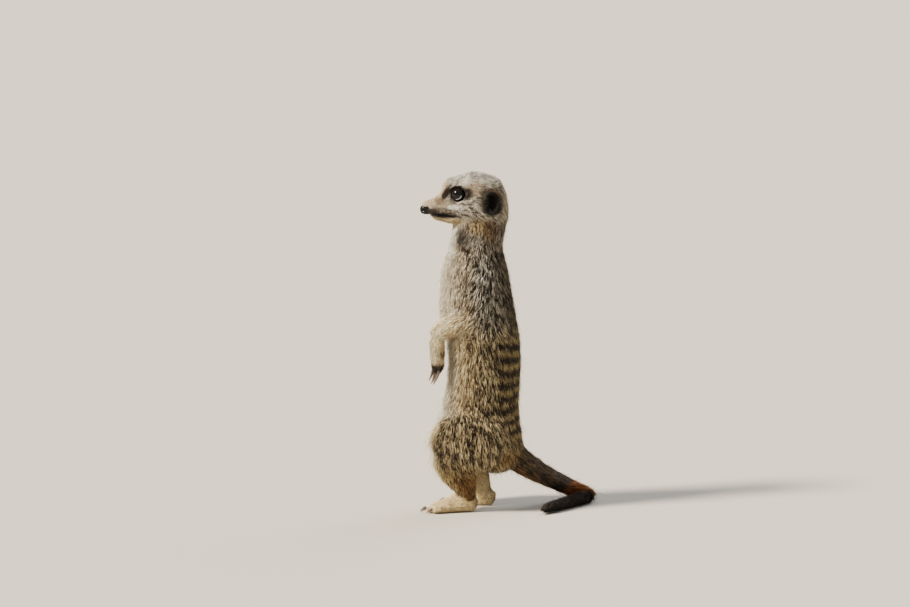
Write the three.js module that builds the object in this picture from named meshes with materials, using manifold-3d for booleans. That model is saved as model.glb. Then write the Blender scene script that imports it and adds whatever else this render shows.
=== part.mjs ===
// A meerkat standing upright on its hind feet and tail, life size, as a still model.
// Millimetres, +Z up. The animal faces -X, so its left side is -Y and its right side +Y.
// The tips of the coat are the outer surface of every piece of flesh.
// Head, neck and trunk are one form, and so is each limb, parted at the joints with thin cuts.
import * as THREE from "three";
import { mergeVertices } from "three/addons/utils/BufferGeometryUtils.js";
import Module from "manifold-3d";

const wasm = await Module();
wasm.setup();

// ---------------------------------------------------------------- driving sizes
const seam = 0.35; // clearance between neighbouring pieces
const stride = 16; // how far the right hind foot stands behind the left one
const stance = 16; // from the middle plane to the middle of each heel
const heel = -4; // place of the left heel, along the body
const toeOut = 0.2; // turn of each hind foot, toes outwards, in radians
const armDrop = 5; // how much lower the right hand hangs than the left one
const sides = [
  { name: "left", y: -1, back: 0, drop: 0 },
  { name: "right", y: 1, back: stride, drop: armDrop },
];

// ---------------------------------------------------------------- materials
const finish = (color, roughness) => new THREE.MeshStandardMaterial({ color, roughness, metalness: 0 });
const coat = finish(0x8f7a5c, 0.85);
const faceCoat = finish(0xbcb09c, 0.85);
const limbCoat = finish(0xc9b489, 0.85);
const tailCoat = finish(0x5e4a36, 0.85);
const darkTip = finish(0x2a211c, 0.85);
const earSkin = finish(0x1f1b1c, 0.8);
const noseSkin = finish(0x33282a, 0.45);
const eyeGloss = finish(0x1b1413, 0.12);
const horn = finish(0x2b2420, 0.4);

// ---------------------------------------------------------------- lofts
// The unit sphere's height becomes the way along a body, and its rings the sections. `cap` is the
// share of each half that rounds off, so 1 makes an egg. `grow` thickens the whole body.
const roundOff = (height, cap) => {
  const past = Math.max(0, (Math.abs(height) - 1 + cap) / cap);
  return Math.sqrt(Math.max(0, 1 - past * past));
};
const power = (value, exponent) => Math.sign(value) * Math.abs(value) ** exponent;

function wrap(around, along, pointAt) {
  const body = new THREE.SphereGeometry(1, around, along);
  const { position, uv } = body.attributes;
  for (let i = 0; i < position.count; i += 1) {
    const point = pointAt(position.getY(i), 2 * Math.PI * uv.getX(i));
    position.setXYZ(i, point.x, point.y, point.z);
  }
  return body;
}

// A body with upright or level sections. Each station is [place, low, high, half width, widest level],
// where the level is a share of the way from low to high.
function profile(stations, { axis = "z", around = 24, along = 16, cap = 0.3, square = 2, grow = 0 } = {}) {
  const line = (column) => new THREE.CatmullRomCurve3(stations.map((s) => new THREE.Vector3(s[0], s[column], 0)));
  const [lows, highs, wides, levels] = [1, 2, 3, 4].map(line);
  const outward = Math.sign(stations[0][0] - stations.at(-1)[0]);
  return wrap(around, along, (height, turn) => {
    const t = (1 - height) / 2;
    const swell = roundOff(height, cap);
    const low = lows.getPoint(t);
    const high = highs.getPoint(t).y;
    const level = low.y + (high - low.y) * levels.getPoint(t).y;
    const up = -power(Math.sin(turn), 2 / square);
    const extra = swell > 0 ? grow : 0;
    const reach = (up > 0 ? high - level : level - low.y) * swell + extra;
    const y = power(Math.cos(turn), 2 / square) * (wides.getPoint(t).y * swell + extra);
    const place = low.x + height * grow * outward;
    return axis === "x"
      ? new THREE.Vector3(place, y, level + up * reach)
      : new THREE.Vector3(level + up * reach, y, place);
  });
}

// A body on a bent path. Each section is [x, y, z, half width, half depth], and `side` is the axis
// that its width is square to: X for bodies that stand, Z for those that lie.
function limb(sections, { side = "x", around = 16, along = 10, cap = 0.5, square = 2, grow = 0 } = {}) {
  const path = new THREE.CatmullRomCurve3(sections.map(([x, y, z]) => new THREE.Vector3(x, y, z)));
  const sizes = new THREE.CatmullRomCurve3(sections.map((s) => new THREE.Vector3(s[3], s[4], 0)));
  const reference = side === "x" ? new THREE.Vector3(1, 0, 0) : new THREE.Vector3(0, 0, 1);
  return wrap(around, along, (height, turn) => {
    const t = (1 - height) / 2;
    const tangent = path.getTangent(t);
    const across = new THREE.Vector3().crossVectors(tangent, reference).normalize();
    const out = new THREE.Vector3().crossVectors(tangent, across);
    const size = sizes.getPoint(t);
    const swell = roundOff(height, cap);
    const extra = swell > 0 ? grow : 0;
    const point = path.getPoint(t).addScaledVector(tangent, -height * grow);
    point.addScaledVector(across, -power(Math.cos(turn), 2 / square) * (size.x * swell + extra));
    return point.addScaledVector(out, power(Math.sin(turn), 2 / square) * (size.y * swell + extra));
  });
}

const egg = (middle, radii, rings, turn = 0) =>
  new THREE.SphereGeometry(1, rings * 2, rings).scale(...radii).rotateZ(turn).translate(...middle);

// ---------------------------------------------------------------- solids
function solid(geometry) {
  const bare = geometry.clone();
  bare.deleteAttribute("normal");
  bare.deleteAttribute("uv");
  const merged = mergeVertices(bare);
  const vertProperties = merged.attributes.position.array;
  const triVerts = new Uint32Array(merged.index.array);
  return new wasm.Manifold(new wasm.Mesh({ numProp: 3, vertProperties, triVerts }));
}

const join = (solids) => solids.reduce((all, one) => all.add(one));
const carve = (body, cutters) => cutters.reduce((left, cutter) => left.subtract(cutter), body);
const largest = (body) => body.decompose().reduce((a, b) => (b.volume() > a.volume() ? b : a));

// Takes thin slabs out of a body. Each cut is a point, the way it faces, and how wide it reaches.
function partAt(body, cuts) {
  const slabs = cuts.map(({ point, facing, reach }) => {
    const turn = new THREE.Quaternion();
    turn.setFromUnitVectors(new THREE.Vector3(0, 0, 1), new THREE.Vector3(...facing).normalize());
    return solid(new THREE.BoxGeometry(reach, reach, seam).applyQuaternion(turn).translate(...point));
  });
  return carve(body, slabs).decompose();
}

// The piece whose box lies round a point most closely.
function pieceAt(pieces, point) {
  const chip = 60; // mm3, below which a piece is only an offcut
  const away = (piece) => {
    const { min, max } = piece.boundingBox();
    return Math.hypot(...point.map((c, i) => c - (min[i] + max[i]) / 2));
  };
  return pieces.filter((one) => one.volume() > chip).sort((a, b) => away(a) - away(b))[0];
}

const room = 600; // taller and wider than the animal
const aboveFloor = solid(new THREE.BoxGeometry(room, room, room).translate(0, 0, room / 2));
const onFloor = (body) => body.intersect(aboveFloor);

const animal = new THREE.Group();
function place(name, body, material) {
  const { numProp, numVert, vertProperties, triVerts } = largest(body).getMesh();
  const places = new Float32Array(numVert * 3);
  for (let i = 0; i < numVert; i += 1) {
    places.set(vertProperties.subarray(i * numProp, i * numProp + 3), i * 3);
  }
  const geometry = new THREE.BufferGeometry();
  geometry.setAttribute("position", new THREE.BufferAttribute(places, 3));
  geometry.setIndex(new THREE.BufferAttribute(triVerts, 1));
  geometry.computeVertexNormals();
  const mesh = new THREE.Mesh(geometry, material);
  mesh.name = name;
  animal.add(mesh);
}

// ---------------------------------------------------------------- head
// Stations run from the nose to the nape: place, lip line, crown line, half width, widest level.
const skull = [
  [-51.2, 263.6, 270, 4, 0.5],
  [-47.5, 261.8, 273.2, 5.8, 0.45],
  [-43, 261, 275.8, 7.4, 0.42],
  [-38.5, 260.4, 278.4, 9.3, 0.4],
  [-34.8, 259.6, 281.2, 11.4, 0.4],
  [-31.5, 258.4, 286.6, 14, 0.4],
  [-27, 257, 291.8, 17.2, 0.38],
  [-20, 255.5, 295, 21, 0.36],
  [-10, 253, 298.6, 24.6, 0.36],
  [0, 250, 298.2, 26, 0.4],
  [9, 248, 296.6, 26, 0.42],
  [16, 247, 293.4, 24.2, 0.44],
  [21, 248, 288, 21.6, 0.45],
  [25.4, 250, 281, 17.6, 0.46],
];
const jaw = [
  [-44.4, 260, 264, 3.4, 0.5],
  [-41, 257.4, 264, 5, 0.5],
  [-36, 255.4, 264, 7.2, 0.5],
  [-29, 254.2, 264, 11.6, 0.5],
  [-20, 252.4, 267, 17.2, 0.55],
  [-9, 250, 269, 20.6, 0.6],
  [2, 249, 269, 19.6, 0.6],
  [12, 250, 269, 14, 0.6],
];
const eye = { x: -19.2, y: 13.2, z: 280.9, radius: 6.1 };
const socket = { x: -20.6, y: 18.4, z: 281, long: 8, deep: 4.4, high: 6.2, turn: 0.5 };
const nose = { x: -48.6, z: 266.8, long: 4.4, wide: 4.6, high: 4.8 };
const ear = { x: 10.6, y: 23.6, z: 275.4, long: 8.8, deep: 6.4, high: 12 };

function headForm() {
  const upper = solid(profile(skull, { axis: "x", around: 22, along: 19, cap: 0.2, square: 2.15 }));
  const lower = solid(profile(jaw, { axis: "x", around: 16, along: 10, cap: 0.3 }));
  return join([upper, lower]);
}

function noseForm(grow = 0) {
  const { x, z, long, wide, high } = nose;
  return solid(egg([x, 0, z], [long + grow, wide + grow, high + grow], 6));
}

function eyeForm(y, grow = 0) {
  const radius = eye.radius + grow;
  return solid(egg([eye.x, y * eye.y, eye.z], [radius, radius, radius], 7));
}

// The hollow in the face that the eye looks out of, long along the cheek.
function socketForm(y) {
  const { x, z, long, deep, high, turn } = socket;
  return solid(egg([x, y * socket.y, z], [long, deep, high], 6, y * turn));
}

const earBowl = (y, grow = 0) =>
  solid(egg([ear.x, y * ear.y, ear.z], [ear.long + grow, ear.deep + grow, ear.high + grow], 7));
const earHollow = (y) =>
  solid(egg([ear.x - 2, y * (ear.y + 4.6), ear.z - 0.8], [ear.long - 2.4, ear.deep - 0.6, ear.high - 2.8], 6));

// ---------------------------------------------------------------- neck and trunk
// Stations run from inside the head to the rump: height, front, back, half width, widest level.
const torso = [
  [270, -16, 22, 18, 0.5],
  [257, -23.4, 24.4, 21.4, 0.5],
  [246, -25.6, 22.2, 21.4, 0.5],
  [237, -26.8, 20.6, 21.2, 0.5],
  [229, -28.8, 20.8, 22, 0.5],
  [220, -32.2, 22.6, 24, 0.5],
  [210, -34, 25.2, 25.6, 0.5],
  [198, -35, 27, 26.4, 0.5],
  [184, -35.6, 29.4, 27.2, 0.5],
  [168, -35, 32.4, 28.2, 0.5],
  [155, -31.2, 34.6, 29, 0.48],
  [141, -28.4, 35.8, 29.8, 0.46],
  [124, -28, 35.8, 30.8, 0.46],
  [106, -30.8, 34.6, 31.6, 0.46],
  [88, -32, 34.2, 32, 0.48],
  [70, -31, 36.4, 31.6, 0.5],
  [54, -27, 38.4, 29, 0.5],
  [42, -18, 35, 25, 0.55],
  [33, -8, 28, 20, 0.6],
];
const torsoForm = (grow = 0) => solid(profile(torso, { around: 20, along: 24, cap: 0.12, square: 2.1, grow }));

// ---------------------------------------------------------------- tail
const tail = [
  [20, 0, 54, 15, 16],
  [33, 2, 45, 12.6, 13],
  [48, 11, 33, 9.8, 10],
  [63, 23.5, 23, 8.4, 8.6],
  [76, 34, 15, 7.6, 7.8],
  [86, 39.6, 9.6, 7.2, 7.3],
  [93.6, 36.6, 7, 6.9, 6.9],
  [94.6, 27.6, 6.2, 6.5, 6.5],
  [87, 13.6, 5.9, 6.3, 6.2],
  [74, -6.5, 5.7, 6.1, 6],
  [63, -23, 5.4, 5.4, 5.6],
  [55.5, -34, 4.8, 3.4, 3.8],
];
const tailForm = (grow = 0) => solid(limb(tail, { side: "z", around: 12, along: 24, cap: 0.14, grow }));
const tailCuts = [
  { point: [63, 23.5, 23], facing: [0.78, 0.6, -0.4], reach: 26 },
  { point: [81, 36.8, 12.3], facing: [0.8, 0.5, -0.35], reach: 24 },
];

// ---------------------------------------------------------------- arms
const upperArm = ({ y, drop }) => [
  [5, y * 17, 220 - drop, 9, 12],
  [2, y * 20.6, 204 - drop, 11, 14],
  [-1, y * 22.4, 186 - drop, 10.6, 13.5],
  [-4, y * 22, 166 - drop, 9, 11],
];
const forearm = ({ y, drop }) => [
  [2, y * 20.5, 172 - drop, 9, 11],
  [-12, y * 22.5, 170 - drop, 9.4, 11.6],
  [-24, y * 21.6, 166.5 - drop, 8.6, 10.4],
  [-34, y * 20, 161 - drop, 7.6, 9],
  [-39.5, y * 19, 153 - drop, 7, 7.8],
];
const hand = ({ y, drop }) => [
  [-35.5, y * 19.4, 162 - drop, 6.6, 8],
  [-37.4, y * 18.8, 151 - drop, 7, 7.6],
  [-37.6, y * 18.2, 140 - drop, 7, 6.8],
  [-37, y * 17.8, 129 - drop, 6.6, 5.6],
  [-36.8, y * 17.6, 124 - drop, 5, 4],
];
const fingers = [
  { side: -5.2, reach: -3, radius: 2.3 },
  { side: -1.8, reach: 0, radius: 2.5 },
  { side: 1.8, reach: 0, radius: 2.5 },
  { side: 5.2, reach: -2.5, radius: 2.3 },
];
const finger = ({ y, drop }, { side, reach, radius }) => [
  [-36.8, y * 18 + side * 0.85, 134 - drop, radius, radius + 0.8],
  [-38, y * 17.8 + side, 128 - drop, radius, radius + 0.8],
  [-38.4, y * 17.6 + side * 1.1, 121.5 - drop - reach, radius * 0.9, radius],
];
const fingerClaw = ({ y, drop }, { side, reach }) => [
  [-38.6, y * 17.6 + side * 1.1, 123.5 - drop - reach, 0.9, 1.5],
  [-40.6, y * 17.5 + side * 1.15, 118 - drop - reach, 0.85, 1.3],
  [-43.4, y * 17.4 + side * 1.15, 113.5 - drop - reach, 0.6, 0.8],
];

const fingerForm = (side, one, grow = 0) =>
  solid(limb(finger(side, one), { around: 6, along: 4, cap: 0.6, grow }));
const fingerClawForm = (side, one) =>
  carve(solid(limb(fingerClaw(side, one), { around: 4, along: 4, cap: 0.5 })), [fingerForm(side, one, seam)]);

function armPieces(side) {
  const upper = solid(limb(upperArm(side), { around: 12, along: 7, cap: 0.7 }));
  const lower = solid(limb(forearm(side), { side: "z", around: 12, along: 8, cap: 0.35 }));
  const palm = solid(limb(hand(side), { around: 10, along: 6, cap: 0.4, square: 2.3 }));
  const whole = join([upper, lower, palm, ...fingers.map((one) => fingerForm(side, one))]);
  const elbow = { point: [-9, side.y * 22, 176 - side.drop], facing: [-0.8, 0, -0.6], reach: 60 };
  const wrist = { point: [-38, side.y * 19, 152 - side.drop], facing: [0.1, 0, -1], reach: 24 };
  const pieces = partAt(carve(whole, [torsoForm(seam)]), [elbow, wrist]);
  return {
    upper_arm: pieceAt(pieces, [2, side.y * 25, 196 - side.drop]),
    forearm: pieceAt(pieces, [-24, side.y * 21, 165 - side.drop]),
    hand: pieceAt(pieces, [-37, side.y * 18, 138 - side.drop]),
  };
}

// ---------------------------------------------------------------- legs
const thigh = ({ y, back }) => [
  [26, y * 15, 70, 15, 22],
  [8 + back * 0.2, y * 21, 68, 17, 27],
  [-10 + back * 0.3, y * 23, 66, 17, 27.5],
  [-28 + back * 0.4, y * 22.6, 63.6, 16, 23.6],
  [-45 + back * 0.5, y * 21.4, 60.5, 12, 18],
];
const shank = ({ y, back }) => [
  [-32 + back * 0.4, y * 21.6, 61, 14, 14.6],
  [-26.4 + back * 0.45, y * 21, 47, 13.6, 17.2],
  [-18 + back * 0.6, y * 19.4, 33, 11, 15.2],
  [-12 + back * 0.8, y * 17.4, 21, 8.6, 10.4],
  [-11 + back, y * stance, 8, 7, 7],
];
const toes = [
  { side: -7.2, reach: -4.5, radius: 3 },
  { side: -2.5, reach: 0, radius: 3.2 },
  { side: 2.5, reach: -0.4, radius: 3.2 },
  { side: 7.2, reach: -5, radius: 3 },
];
// A point of the foot: `ahead` of the heel along the sole, `side` ways towards the outer edge.
function solePoint({ y, back }, ahead, side, z) {
  const turn = y * toeOut;
  const x = heel + back - ahead * Math.cos(turn) + side * Math.sin(turn);
  return [x, y * stance + ahead * Math.sin(turn) + side * Math.cos(turn), z];
}
const instep = (side) => [
  [...solePoint(side, -3, 0, 5.6), 5.6, 7.2],
  [...solePoint(side, 5, 0, 7.6), 7.2, 9.2],
  [...solePoint(side, 14, 0, 7.6), 7.8, 8.6],
  [...solePoint(side, 23, 0, 6), 8.4, 6.6],
  [...solePoint(side, 33, 0, 4.8), 9.4, 5.8],
  [...solePoint(side, 40, 0, 4.2), 8.4, 4.8],
];
const toe = (side, { side: across, reach, radius }) => [
  [...solePoint(side, 28, across * 0.8, 5), radius, radius + 0.8],
  [...solePoint(side, 38 + reach, across, 4.6), radius, radius + 0.9],
  [...solePoint(side, 45.6 + reach, across * 1.08, 3.2), radius, radius + 0.3],
];
const toeClaw = (side, { side: across, reach }) => [
  [...solePoint(side, 43.4 + reach, across * 1.08, 4.6), 0.9, 1.4],
  [...solePoint(side, 46.6 + reach, across * 1.1, 4.1), 0.9, 1.3],
  [...solePoint(side, 49.4 + reach, across * 1.1, 1.5), 0.6, 0.8],
];

const toeForm = (side, one, grow = 0) =>
  solid(limb(toe(side, one), { side: "z", around: 6, along: 4, cap: 0.5, grow }));
const toeClawForm = (side, one) =>
  carve(solid(limb(toeClaw(side, one), { side: "z", around: 4, along: 4, cap: 0.5 })), [toeForm(side, one, seam)]);

function legPieces(side) {
  const upper = solid(limb(thigh(side), { side: "z", around: 14, along: 10, cap: 0.6 }));
  const lower = solid(limb(shank(side), { around: 12, along: 7, cap: 0.3 }));
  const sole = solid(limb(instep(side), { side: "z", around: 10, along: 6, cap: 0.3, square: 2.3 }));
  const whole = onFloor(join([upper, lower, sole, ...toes.map((one) => toeForm(side, one))]));
  const knee = { point: [-24 + side.back * 0.4, side.y * 21, 45], facing: [-0.35, 0, -0.94], reach: 90 };
  const ankle = { point: [-9.5 + side.back, side.y * stance, 15], facing: [-0.37, 0, -0.93], reach: 76 };
  const pieces = partAt(carve(whole, [torsoForm(seam), tailForm(seam)]), [knee, ankle]);
  return {
    thigh: pieceAt(pieces, [-8, side.y * 30, 68]),
    shank: pieceAt(pieces, [-18 + side.back * 0.6, side.y * 20, 32]),
    foot: pieceAt(pieces, [-25 + side.back, side.y * 22, 7]),
  };
}

// ---------------------------------------------------------------- build
const throat = { point: [0, 0, 253.5], facing: [-0.04, 0, 1], reach: 100 };
const collar = { point: [0, 0, 226], facing: [-0.3, 0, 1], reach: 100 };
const axial = partAt(join([headForm(), torsoForm()]), [throat, collar]);
const faceCutters = sides.flatMap(({ y }) => [eyeForm(y, seam), socketForm(y), earBowl(y, seam)]);
const headBlock = pieceAt(axial, [-12, 0, 275]);
place("head", carve(headBlock, [...faceCutters, noseForm(seam)]), faceCoat);
place("neck", pieceAt(axial, [-2, 0, 240]), coat);
place("trunk", pieceAt(axial, [0, 0, 130]), coat);
place("nose", noseForm(), noseSkin);
for (const { name, y } of sides) {
  place(`eye_${name}`, eyeForm(y), eyeGloss);
  place(`ear_${name}`, carve(earBowl(y), [earHollow(y)]), earSkin);
}

const tailPieces = partAt(onFloor(carve(tailForm(), [torsoForm(seam)])), tailCuts);
place("tail_base", pieceAt(tailPieces, [48, 11, 33]), tailCoat);
place("tail_middle", pieceAt(tailPieces, [73, 30, 17]), tailCoat);
place("tail_tip", pieceAt(tailPieces, [78, 4, 6]), darkTip);

for (const side of sides) {
  const limbs = { ...armPieces(side), ...legPieces(side) };
  for (const [part, body] of Object.entries(limbs)) {
    place(`${part}_${side.name}`, body, part === "thigh" ? coat : limbCoat);
  }
  fingers.forEach((one, i) => place(`finger_claw_${side.name}_${i + 1}`, fingerClawForm(side, one), horn));
  toes.forEach((one, i) => place(`toe_claw_${side.name}_${i + 1}`, toeClawForm(side, one), horn));
}

// The origin is the middle of the box's underside.
const box = new THREE.Box3().setFromObject(animal);
const middle = box.getCenter(new THREE.Vector3());
animal.position.set(-middle.x, -middle.y, -box.min.z);

export default animal;
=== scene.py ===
import bmesh
import bpy
import numpy as np
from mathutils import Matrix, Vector


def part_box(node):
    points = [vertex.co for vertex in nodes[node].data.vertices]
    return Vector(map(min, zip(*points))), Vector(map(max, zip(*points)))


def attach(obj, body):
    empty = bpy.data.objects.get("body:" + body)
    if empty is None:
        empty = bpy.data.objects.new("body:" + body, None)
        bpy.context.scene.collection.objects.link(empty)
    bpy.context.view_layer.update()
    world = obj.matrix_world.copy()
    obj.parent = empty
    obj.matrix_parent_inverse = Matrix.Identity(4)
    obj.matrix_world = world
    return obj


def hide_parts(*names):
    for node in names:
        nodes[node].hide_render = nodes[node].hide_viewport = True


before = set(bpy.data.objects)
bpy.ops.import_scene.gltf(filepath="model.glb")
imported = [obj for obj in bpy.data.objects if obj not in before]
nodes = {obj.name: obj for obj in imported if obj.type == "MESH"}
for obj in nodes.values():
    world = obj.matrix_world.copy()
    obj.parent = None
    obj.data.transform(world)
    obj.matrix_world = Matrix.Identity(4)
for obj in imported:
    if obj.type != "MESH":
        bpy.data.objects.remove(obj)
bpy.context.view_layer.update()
print("frame loaded:", len(nodes), "nodes")

mm = 0.001
rng = np.random.default_rng(41)

# The plan is in millimetres: the animal faces -X, its left side is -Y, the floor is Z 0.
eyePlan = {
    "centre": (-19.2, 13.2, 280.9),
    "radius": 6.4,
    "sunk": 0.5,  # how far the ball lies behind the middle of its CAD node
    "gaze": (-0.30, 0.94, 0.12),
    "openLong": 5.5,  # half the opening between the lids, long and high
    "openHigh": 4.9,
    "lidSlant": -8.0,  # degrees, the outer corner lies lower than the inner one
    "lidThick": 0.75,
    "blendOut": 4.4,  # how far the lids run out into the cheek
    "skinBehind": 1.1,  # how far the skin lies behind the ball's front in the opening
    "rimWide": 0.36,
    "rimDeep": 0.34,
    "cornea": 0.35,  # how far it swells out of the ball
    "tearReach": 4.4,  # painted reflection: a pale arc round the gaze along the lower lid, between two pairs of degrees
    "tearWide": 0.28,
    "tearFrom": (172, 205),
    "tearTo": (288, 250),
    "tearBright": 0.9,
}
eyeMiddle = np.mean([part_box("eye_left"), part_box("eye_right")], axis=(0, 1)) / mm
origin = np.array([eyeMiddle[0] - eyePlan["centre"][0], eyeMiddle[1], 0.0])
sides = [
    {"name": "left", "y": -1.0, "back": 0.0, "drop": 0.0},
    {"name": "right", "y": 1.0, "back": 16.0, "drop": 5.0},
]
farSide = sides[1]


# plan millimetres to the frame's metres: the frame's own place for the plan's origin is added
def toScene(points):
    return (np.asarray(points, float) + origin) * mm


# and back
def toPlan(points):
    return np.asarray(points, float) / mm - origin


# 0 at low, 1 at high and an even slope's end at both, so low may also be the larger
def rise(value, low, high):
    part = np.clip((value - low) / (high - low), 0, 1)
    return part * part * (3 - 2 * part)


# the first where the share is 0, the second where it is 1, in proportion between
def mix(first, second, share):
    return first + (second - first) * share


# each vector over its own length
def unit(vectors):
    return vectors / np.maximum(np.linalg.norm(vectors, axis=-1, keepdims=True), 1e-9)


# evenly spaced angles once round
def turns(count):
    return np.linspace(0, 2 * np.pi, count, endpoint=False)


# the same points folded onto the right side, for what both sides share
def mirrored(points):
    return points * [1, 0, 1] + np.abs(points * [0, 1, 0])


# 1 inside an ellipsoid, 0 outside it, with a soft edge as a share of its radii
def blob(points, centre, radii, edge=0.3):
    gap = np.linalg.norm((points - np.array(centre)) / np.array(radii), axis=1)
    return rise(gap, 1 + edge, 1 - edge)


# Colours are sRGB hex values, turned to linear here.
def linear(text):
    values = np.array([int(text[k : k + 2], 16) for k in (1, 3, 5)]) / 255
    return np.where(values <= 0.04045, values / 12.92, ((values + 0.055) / 1.055) ** 2.4)


# the same with alpha 1, as a node's input takes it
def paint(text):
    return (*linear(text), 1.0)


# an input that is a socket is linked, any other is set
def setInputs(tree, node, inputs):
    for name, value in inputs.items():
        if isinstance(value, bpy.types.NodeSocket):
            tree.links.new(value, node.inputs[name])
        else:
            node.inputs[name].default_value = value


# one node with its own settings, and its inputs set or linked
def addNode(tree, kind, inputs=None, **settings):
    node = tree.nodes.new("ShaderNode" + kind)
    for name, value in settings.items():
        setattr(node, name, value)
    setInputs(tree, node, inputs or {})
    return node


# the inputs of a pattern whose grains have this size in millimetres
def grainOf(tree, sizeMm, **more):
    where = addNode(tree, "TexCoord")
    return {"Vector": where.outputs["Object"], "Scale": 1 / (sizeMm * mm), **more}


# colours at places along a ramp, in rising order
def setStops(ramp, stops):
    elements = ramp.color_ramp.elements
    while len(elements) < len(stops):
        elements.new(0.5)
    for element, (place, colour) in zip(elements, stops):
        element.position = place
        element.color = paint(colour)


# a material with its tree and its surface shader
def newMaterial(name):
    material = bpy.data.materials.new(name)
    material.use_nodes = True
    tree = material.node_tree
    return material, tree, tree.nodes["Principled BSDF"]


# Hair: matt keratin over air, so the colour is the hair's own and the gloss is faint.
def hairMaterial(name, roughness=0.55, grainMm=0.7, bumpMm=0.0):
    material, tree, shader = newMaterial(name)
    tint = addNode(tree, "Attribute", attribute_name="coatTint")
    grain = addNode(tree, "TexNoise", grainOf(tree, grainMm, Detail=2.0)).outputs["Fac"]
    ramp = {"Value": grain, "From Min": 0.25, "From Max": 0.75, "To Min": 0.78, "To Max": 1.18}
    shade = addNode(tree, "MapRange", ramp).outputs["Result"]
    shaded = {0: tint.outputs["Color"], "Scale": shade}
    shaded = addNode(tree, "VectorMath", shaded, operation="SCALE").outputs["Vector"]
    inputs = {"Base Color": shaded, "Roughness": roughness, "Specular IOR Level": 0.3}
    if bumpMm:
        bump = {"Height": grain, "Distance": bumpMm * mm, "Strength": 0.8}
        inputs["Normal"] = addNode(tree, "Bump", bump).outputs["Normal"]
    setInputs(tree, shader, inputs)
    return material


# Bare skin: fine pebbles, with a moist film on the nose pad but not in its pits, dull on lids.
def bareSkinMaterial(name, colour, roughness, pebbleMm, wet, shine):
    material, tree, shader = newMaterial(name)
    pebbles = addNode(tree, "TexVoronoi", grainOf(tree, pebbleMm)).outputs["Distance"]
    ramp = {"Value": pebbles, "From Max": 0.7, "To Min": 1.25, "To Max": 0.6}
    shade = addNode(tree, "MapRange", ramp).outputs["Result"]
    shaded = {0: linear(colour), "Scale": shade}
    bump = {"Height": pebbles, "Distance": 0.12 * mm, "Strength": 0.6}
    inputs = {
        "Base Color": addNode(tree, "VectorMath", shaded, operation="SCALE").outputs["Vector"],
        "Normal": addNode(tree, "Bump", bump, invert=True).outputs["Normal"],
        "Specular IOR Level": shine,
        "Roughness": roughness,
        "Coat Roughness": 0.07,
    }
    if wet:
        pit = addNode(tree, "Attribute", attribute_name="pit")
        film = {"Value": pit.outputs["Fac"], "To Min": wet, "To Max": 0.0}
        inputs["Coat Weight"] = addNode(tree, "MapRange", film).outputs["Result"]
    setInputs(tree, shader, inputs)
    return material


# Claw horn: layered dark keratin, paler towards the tip, with a dull polish from digging.
def hornMaterial(name):
    material, tree, shader = newMaterial(name)
    along = addNode(tree, "Attribute", attribute_name="along")
    streak = addNode(tree, "TexNoise", grainOf(tree, 0.6, Detail=3.0))
    shift = {0: streak.outputs["Fac"], 1: 0.3, 2: along.outputs["Fac"]}
    shift = addNode(tree, "Math", shift, operation="MULTIPLY_ADD")
    ramp = addNode(tree, "ValToRGB", {"Fac": shift.outputs["Value"]})
    setStops(ramp, [(0.0, "#231B16"), (1.15 / 1.3, "#6B5A48")])
    setInputs(tree, shader, {"Base Color": ramp.outputs["Color"], "Roughness": 0.38})
    return material


# Eye: near-black iris and wide pupil under a clear wet cornea, with a painted reflection, a pale arc,
# along the lower lid. The film thins towards the rim, where the lids would dull it.
def eyeMaterial(name):
    material, tree, shader = newMaterial(name)
    angle = addNode(tree, "Attribute", attribute_name="fromGaze").outputs["Fac"]
    paintedArc = addNode(tree, "Attribute", attribute_name="tearLine").outputs["Fac"]
    fibres = addNode(tree, "TexNoise", grainOf(tree, 0.8, Detail=4.0))
    ring = {0: fibres.outputs["Fac"], 1: 0.05, 2: angle}
    ring = addNode(tree, "Math", ring, operation="MULTIPLY_ADD")
    iris = addNode(tree, "ValToRGB", {"Fac": ring.outputs["Value"]})
    pupil, brown = [(0.0, "#040405"), (0.30, "#050506")], [(0.36, "#120B08"), (0.50, "#180E0A")]
    setStops(iris, pupil + brown + [(0.60, "#080606"), (1.0, "#0E0A09")])
    # painted reflection: a pale colour mixed into the iris along the arc
    shown = {0: paintedArc, 6: iris.outputs["Color"], 7: paint("#E9EEF6")}
    shown = addNode(tree, "Mix", shown, data_type="RGBA")
    film = {"Value": angle, "From Min": 0.36, "From Max": 0.62, "To Min": 0.42, "To Max": 0.05}
    inputs = {
        "Base Color": shown.outputs[2],
        "Coat Weight": addNode(tree, "MapRange", film).outputs["Result"],
        "Roughness": 0.12,
        "Specular IOR Level": 0.05,
        "Coat Roughness": 0.02,
    }
    setInputs(tree, shader, inputs)
    return material


# points in plan millimetres and rows of point numbers, each row a face
def newPiece(name, points, faces, material, smooth=True):
    mesh = bpy.data.meshes.new(name)
    faces = np.asarray(faces, np.int32)
    mesh.vertices.add(len(points))
    mesh.vertices.foreach_set("co", toScene(points).astype(np.float32).ravel())
    mesh.loops.add(faces.size)
    mesh.loops.foreach_set("vertex_index", faces.ravel())
    mesh.polygons.add(len(faces))
    mesh.polygons.foreach_set("loop_start", np.arange(0, faces.size, faces.shape[1], dtype=np.int32))
    mesh.update(calc_edges=True)
    if smooth:
        mesh.shade_smooth()
    if material:
        mesh.materials.append(material)
    piece = bpy.data.objects.new(name, mesh)
    bpy.context.scene.collection.objects.link(piece)
    return piece


# one value for each point
def addNumbers(piece, name, values):
    layer = piece.data.attributes.new(name, "FLOAT", "POINT")
    layer.data.foreach_set("value", np.asarray(values, np.float32))


# one linear colour for each point
def addColours(piece, name, colours):
    layer = piece.data.attributes.new(name, "FLOAT_COLOR", "POINT")
    full = np.concatenate([colours, np.ones((len(colours), 1))], axis=1)
    layer.data.foreach_set("color", full.astype(np.float32).ravel())
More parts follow.
